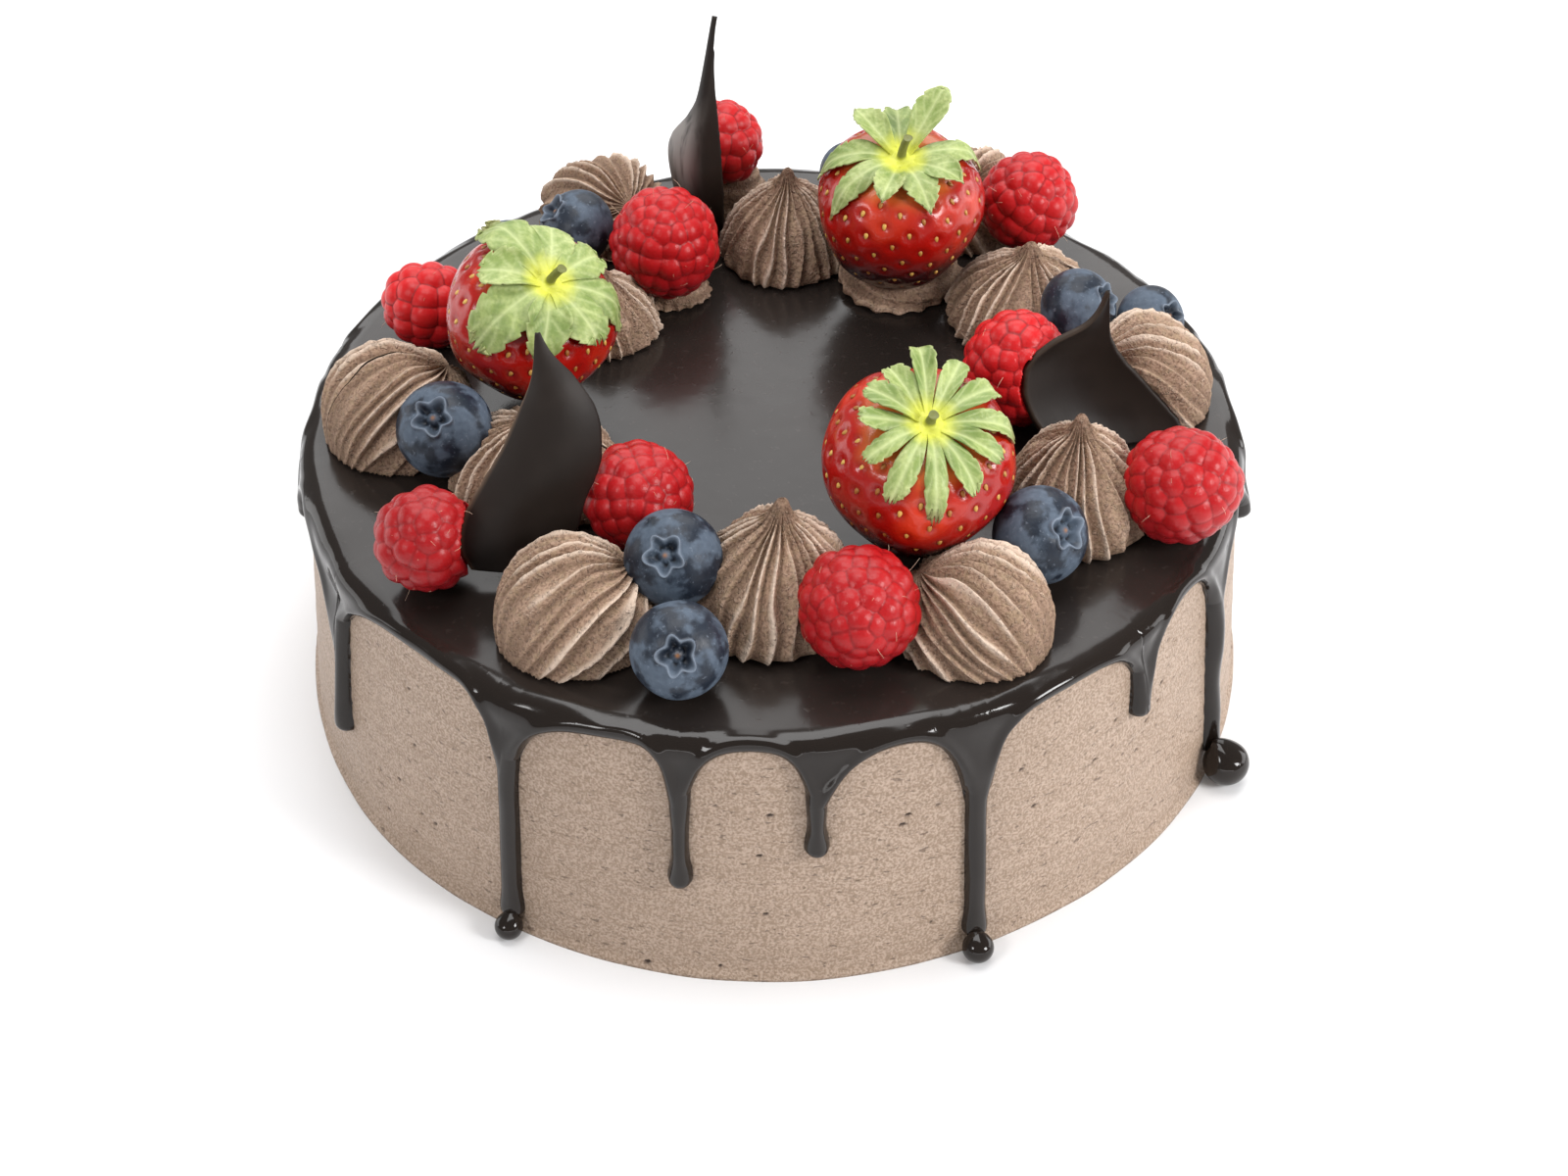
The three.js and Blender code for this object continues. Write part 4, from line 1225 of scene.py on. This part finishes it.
def fruit_surface(number, turn, share):
    radius, length, _ = STRAWBERRIES[number]
    line = through(STRAWBERRY_PROFILE, share)
    ribs = 1 + 0.018 * np.sin(5 * turn + number) + 0.012 * np.sin(3 * turn + 2 * number)
    return around(turn, np.maximum(line[:, 0], 0) * radius * ribs, line[:, 1] * length)


def seed_spots(number):
    """Angle and share down the outline of each seed, evenly spread by area."""
    index = np.arange(SEEDS)
    turn = (index * math.pi * (3 - math.sqrt(5)) + number) % (2 * math.pi)
    fine = np.linspace(0.22, 0.97, 200)
    width = through(STRAWBERRY_PROFILE, fine)[:, 0] + 0.08
    area = np.cumsum(width)
    share = np.interp((index + 0.5) / SEEDS, area / area[-1], fine)
    return turn, share


def strawberry_shape(number):
    _, _, tilt = STRAWBERRIES[number]
    at = strawberry_origin(number)
    seeds = fruit_surface(number, *seed_spots(number))

    def shape(u, v):
        turn = 2 * math.pi * u
        local = fruit_surface(number, turn, v)
        local[:, :2] *= (np.minimum(v, 1 - v) > 1e-6)[:, None]
        tree = kdtree.KDTree(len(seeds))
        for index, seed in enumerate(seeds):
            tree.insert(seed, index)
        tree.balance()
        gap = np.array([tree.find(point)[2] for point in local])
        pit = np.exp(-((gap / SEED_PIT_WIDTH) ** 2))
        inward = local / np.linalg.norm(local, axis=1)[:, None]
        local = local - inward * (SEED_PIT * pit)[:, None]
        local += 0.3 * lumps(local, 9, number)[:, None] * inward
        points = stood(local, at, tilt)
        # The low mark carries painted shade on the fruit's low side.
        low = smooth(at[2] - points[:, 2], 1, 15)
        return points, {"seed_pit": pit, "down": v, "low": low}

    return shape


# %% Strawberry seeds
def add_seeds(form, number):
    _, _, tilt = STRAWBERRIES[number]
    at = strawberry_origin(number)
    turn, share = seed_spots(number)
    spots = fruit_surface(number, turn, share)
    ahead = fruit_surface(number, turn, share + 0.01)
    for spot, below in zip(spots, ahead):
        down = Vector(below - spot).normalized()
        side_way = Vector((-spot[1], spot[0], 0)).normalized()
        out = side_way.cross(down).normalized()
        out = out if out.dot(Vector(spot)) > 0 else -out
        ways = [way * half for way, half in zip((side_way, down, out), SEED_SIZE)]
        axes = Matrix(ways).transposed().to_4x4()
        seed = bmesh.ops.create_icosphere(form, subdivisions=2, radius=1)["verts"]
        for corner in seed:
            corner.co.x *= 1 - 0.35 * corner.co.y
        place = Vector(spot) - out * (SEED_PIT - 0.18)
        bmesh.ops.transform(form, matrix=Matrix.Translation(place) @ axes, verts=seed)
        local = np.array([corner.co for corner in seed])
        for corner, point in zip(seed, stood(local, at, tilt) * MM):
            corner.co = point


# %% Strawberry finishes
def strawberry_finish():
    constants = {
        "Subsurface Weight": 0.1,
        "Subsurface Radius": (1.0, 0.18, 0.1),
        "Subsurface Scale": 1.2 * MM,
        "Coat Roughness": 0.1,
        "Specular IOR Level": 0.4,
    }
    finish = Finish("strawberry skin", constants)
    down = finish.mark("down") + 0.2 * (finish.spots(13, 2) - 0.5)
    patch = finish.ramp(finish.spots(15, 1), 0.5, 0.7)
    red = finish.blend(patch, (0.37, 0.006, 0.003), (0.60, 0.032, 0.006))
    pale = finish.blend(finish.ramp(down, 0.15, 0.28), (0.66, 0.17, 0.035), red)
    # The tip darkens: partly the fruit's own deeper red, partly painted shade where the low mark
    # is set.
    shaded = down + 0.3 * finish.mark("low")
    dark = finish.blend(finish.ramp(shaded, 0.4, 0.68), pale, (0.04, 0.002, 0.003))
    # Painted shade: the pits round the seeds are painted darker.
    with_painted_pit_shade = finish.blend(0.45 * finish.mark("seed_pit"), dark, (0.16, 0.004, 0.003))
    finish.relief(finish.spots(0.9, 2), 0.08)
    return finish.set(Base_Color=with_painted_pit_shade, Roughness=0.24 + 0.12 * patch, Coat_Weight=0.2)


def seed_finish():
    finish = Finish("strawberry seeds", {"Roughness": 0.4})
    shade = finish.ramp(finish.spots(9, 1), 0.35, 0.65)
    return finish.set(Base_Color=finish.blend(shade, (0.36, 0.13, 0.02), (0.72, 0.44, 0.10)))


strawberry_skin = strawberry_finish()
seed_form = bmesh.new()
for number in STRAWBERRIES:
    form = formed(150, 96, strawberry_shape(number))
    show(f"strawberry_fruit_{number}", form, "strawberry", strawberry_skin, f"strawberry_{number}")
    add_seeds(seed_form, number)
print("seeds:", SEEDS * len(STRAWBERRIES), "with", len(seed_form.faces), "faces")
show("strawberry_seeds", seed_form, "strawberry", seed_finish())

# %% [markdown]
# ## Green leaves
#
# Each strawberry wears a ring of leaves round a yellow-green hub with a short stalk. A leaf is a
# flat grid drawn out to its outline, with a few teeth near its tip, then draped over the fruit's
# shoulder and lifted at its tip. A Solidify modifier gives the sheet its thickness.

# %% Strawberry leaves
LEAVES = {  # length, width, where the first one points, how far each tip is lifted
    1: (16.5, 7.5, 12, [2, 14, 3, 8, 1, 2, 6, 1, 3]),
    2: (16.5, 10.5, 0, [1, 0.5, 2, 5, 3, 1, 1, 2]),
    3: (15.5, 4.9, 5, [1, 2, 3, 5, 4, 5, 6, 2, 0.5, 0.5, 0.5, 1]),
}
LEAF_OUTLINES = {  # share of the length, and of the half width; one ends in a point, two are blunt
    1: [(0.0, 0.2), (0.2, 0.4), (0.48, 0.88), (0.68, 1.0), (0.86, 0.66), (1.0, 0.0)],
    2: [(0.0, 0.2), (0.2, 0.42), (0.48, 0.86), (0.72, 1.0), (0.92, 0.74), (1.0, 0.3)],
    3: [(0.0, 0.2), (0.2, 0.36), (0.48, 0.78), (0.74, 1.0), (0.93, 0.78), (1.0, 0.38)],
}
LEAF_THICKNESS = 0.28
STALKS = {1: 5.2, 2: 4.8, 3: 2.4}  # lengths above the hub


def fruit_top(number, distance):
    """Height of the fruit's upper side at a distance from its axis."""
    radius, length, _ = STRAWBERRIES[number]
    line = through(STRAWBERRY_PROFILE[:4], np.linspace(0, 1, 60)) * (radius, length)
    beyond = np.maximum(0, distance - radius)
    return np.interp(distance, line[:, 0], line[:, 1]) - 1.2 * beyond


def leaf_shape(number, index, dice):
    long, wide, first, lifts = LEAVES[number]
    _, _, tilt = STRAWBERRIES[number]
    at = strawberry_origin(number)
    heading = math.radians(first + 360 * index / len(lifts))
    reach = long * (1 + 0.12 * math.sin(5 * index + lifts[index]))
    wide = wide * dice.uniform(0.85, 1.12)
    cup, phase, veer = dice.uniform(-0.03, 0.13), dice.uniform(0, 6), dice.uniform(-0.22, 0.22)
    tone, teeth = dice.random(), dice.randint(3, 5)

    def shape(u, v):
        across = 2 * u - 1
        outline = through(LEAF_OUTLINES[number], v)
        saw = (teeth * 2 * v + phase) % 1
        notch = 1 - 0.17 * smooth(v, 0.45, 0.6) * saw**2 * np.abs(across)
        half = np.maximum(outline[:, 1], 0) * wide / 2 * notch
        jag = np.abs((1.5 * across + phase) % 1 - 0.5) * 2
        along = outline[:, 0] * reach * (1 - 0.09 * v**8 * jag)
        side_step = across * half
        turn = heading + veer * (along / reach) ** 2
        x = along * math.cos(heading) - side_step * np.sin(turn) - veer * v * v * 3
        y = along * math.sin(heading) + side_step * np.cos(turn)
        distance = np.hypot(x, y)
        lift = 1.1 + lifts[index] * (distance / long) ** 2
        wavy = 0.8 * across**2 * np.sin(6 * v + phase) + 0.35 * np.sin(3 * v + 2 * phase)
        midrib = np.exp(-((side_step / 0.5) ** 2)) * smooth(v, 0.1, 0.3)
        branch = (0.5 + 0.5 * np.cos(2 * math.pi * (5 * v - 1.6 * np.abs(across)))) ** 6
        branch = branch * smooth(v, 0.2, 0.4) * (1 - midrib)
        layer = 0.4 * (index % 2) * smooth(v, 0.05, 0.3)
        relief = cup * side_step**2 + wavy * smooth(v, 0.1, 0.5) - 0.3 * midrib - 0.1 * branch
        z = fruit_top(number, distance) + lift + relief + layer
        marks = {
            "from_hub": distance / long,
            "vein": np.maximum(midrib, 0.6 * branch),
            "edge": smooth(np.abs(across), 0.8, 1) * smooth(v, 0.4, 0.8),
            "tone": np.full(len(u), tone),
        }
        return stood(np.stack([x, y, z], 1), at, tilt), marks

    return shape


# %% Rings and stalks
def leaf_ring(number):
    _, _, _, lifts = LEAVES[number]
    dice = random.Random(30 + number)
    ring = bmesh.new()
    for index in range(len(lifts)):
        leaf = bpy.data.meshes.new("leaf")
        form = formed(18, 56, leaf_shape(number, index, dice))
        form.to_mesh(leaf)
        form.free()
        ring.from_mesh(leaf)
    node = f"strawberry_leaves_{number}"
    piece = show(f"strawberry_calyx_{number}", ring, "strawberry_leaf", leaf_green, node)
    solid = piece.modifiers.new("thickness", "SOLIDIFY")
    solid.thickness = LEAF_THICKNESS * MM
    solid.offset = 0


def stalk_shape(number):
    _, _, tilt = STRAWBERRIES[number]
    at = strawberry_origin(number)
    foot = fruit_top(number, np.array([0.0]))[0] + 0.7
    tall = STALKS[number]
    profile = [(0, 0), (5.0, 0.2), (4.6, 0.9), (2.6, 1.3), (1.3, 1.5), (0.95, 2.4),
               (0.85, 1.5 + tall), (0.95, 1.9 + tall), (0, 1.8 + tall)]

    def shape(u, v):
        turn = 2 * math.pi * u
        line = through(profile, 1 - v)
        out = np.maximum(line[:, 0], 0) * (np.minimum(v, 1 - v) > 1e-6)
        on_hub = line[:, 1] < 1.4
        lobed = 1 + np.where(on_hub, 0.08, 0.05) * np.sin(np.where(on_hub, 9, 3) * turn + number)
        local = around(turn, out * lobed, foot + line[:, 1])
        local += 0.12 * lumps(local, 1.2, number)[:, None] * on_hub[:, None]
        rise = np.maximum(line[:, 1] - 1.4, 0)
        local[:, 0] += 0.035 * rise**2
        marks = {
            "from_hub": np.zeros(len(u)),
            "vein": np.zeros(len(u)),
            "edge": np.zeros(len(u)),
            "tone": np.full(len(u), 0.5),
            "stalk": smooth(line[:, 1], 1.3, 2.6),
        }
        return stood(local, at, tilt), marks

    return shape


# %% Leaf finish
def leaf_finish():
    finish = Finish("strawberry leaf", {"Specular IOR Level": 0.4, "Roughness": 0.45})
    away = finish.ramp(finish.mark("from_hub") + 0.16 * (finish.spots(3) - 0.5), 0.16, 0.42)
    shade = finish.ramp(finish.spots(5, 3), 0.35, 0.65)
    fine = finish.spots(0.8, 3)
    pale = finish.blend(shade, (0.25, 0.33, 0.09), (0.44, 0.50, 0.20))
    fresh = finish.blend(shade, (0.12, 0.19, 0.04), (0.30, 0.38, 0.11))
    green = finish.blend(finish.mark("tone"), pale, fresh)
    flecked = finish.blend(0.45 * finish.ramp(fine, 0.35, 0.65), green, (0.17, 0.25, 0.055))
    vein = finish.blend(0.6 * finish.mark("vein"), flecked, (0.60, 0.66, 0.32))
    lit = finish.blend(0.35 * finish.mark("edge"), vein, (0.60, 0.62, 0.30))
    colour = finish.blend(away, (0.62, 0.64, 0.075), lit)
    dry = finish.ramp(finish.mark("from_hub") + 0.3 * (finish.spots(2.5, 3) - 0.5), 0.98, 1.12)
    browned = finish.blend(0.6 * dry, colour, (0.20, 0.15, 0.06))
    stem = finish.blend(finish.mark("stalk"), browned, (0.16, 0.17, 0.045))
    finish.relief(shade + 0.6 * fine, 0.2)
    return finish.set(Base_Color=stem)


leaf_green = leaf_finish()
for number in LEAVES:
    leaf_ring(number)
    stalk = formed(40, 60, stalk_shape(number))
    show(f"strawberry_stalk_{number}", stalk, "strawberry_leaf", leaf_green)
print("leaves:", sum(len(lifts) for _, _, _, lifts in LEAVES.values()))

# %% [markdown]
# ## Floor
#
# A wide pale sheet under the cake catches its soft shadow. It is not part of the cake.

# %% Floor
FLOOR_SIZE = 4.0  # metres from the middle to each side

floor_form = bmesh.new()
bmesh.ops.create_grid(floor_form, x_segments=1, y_segments=1, size=FLOOR_SIZE)
floor_mesh = bpy.data.meshes.new("floor")
floor_form.to_mesh(floor_mesh)
floor_form.free()
floor = bpy.data.objects.new("floor", floor_mesh)
bpy.context.scene.collection.objects.link(floor)
white = Finish("pale floor", {"Base Color": (0.86, 0.86, 0.87, 1), "Roughness": 0.6})
floor_mesh.materials.append(white.material)
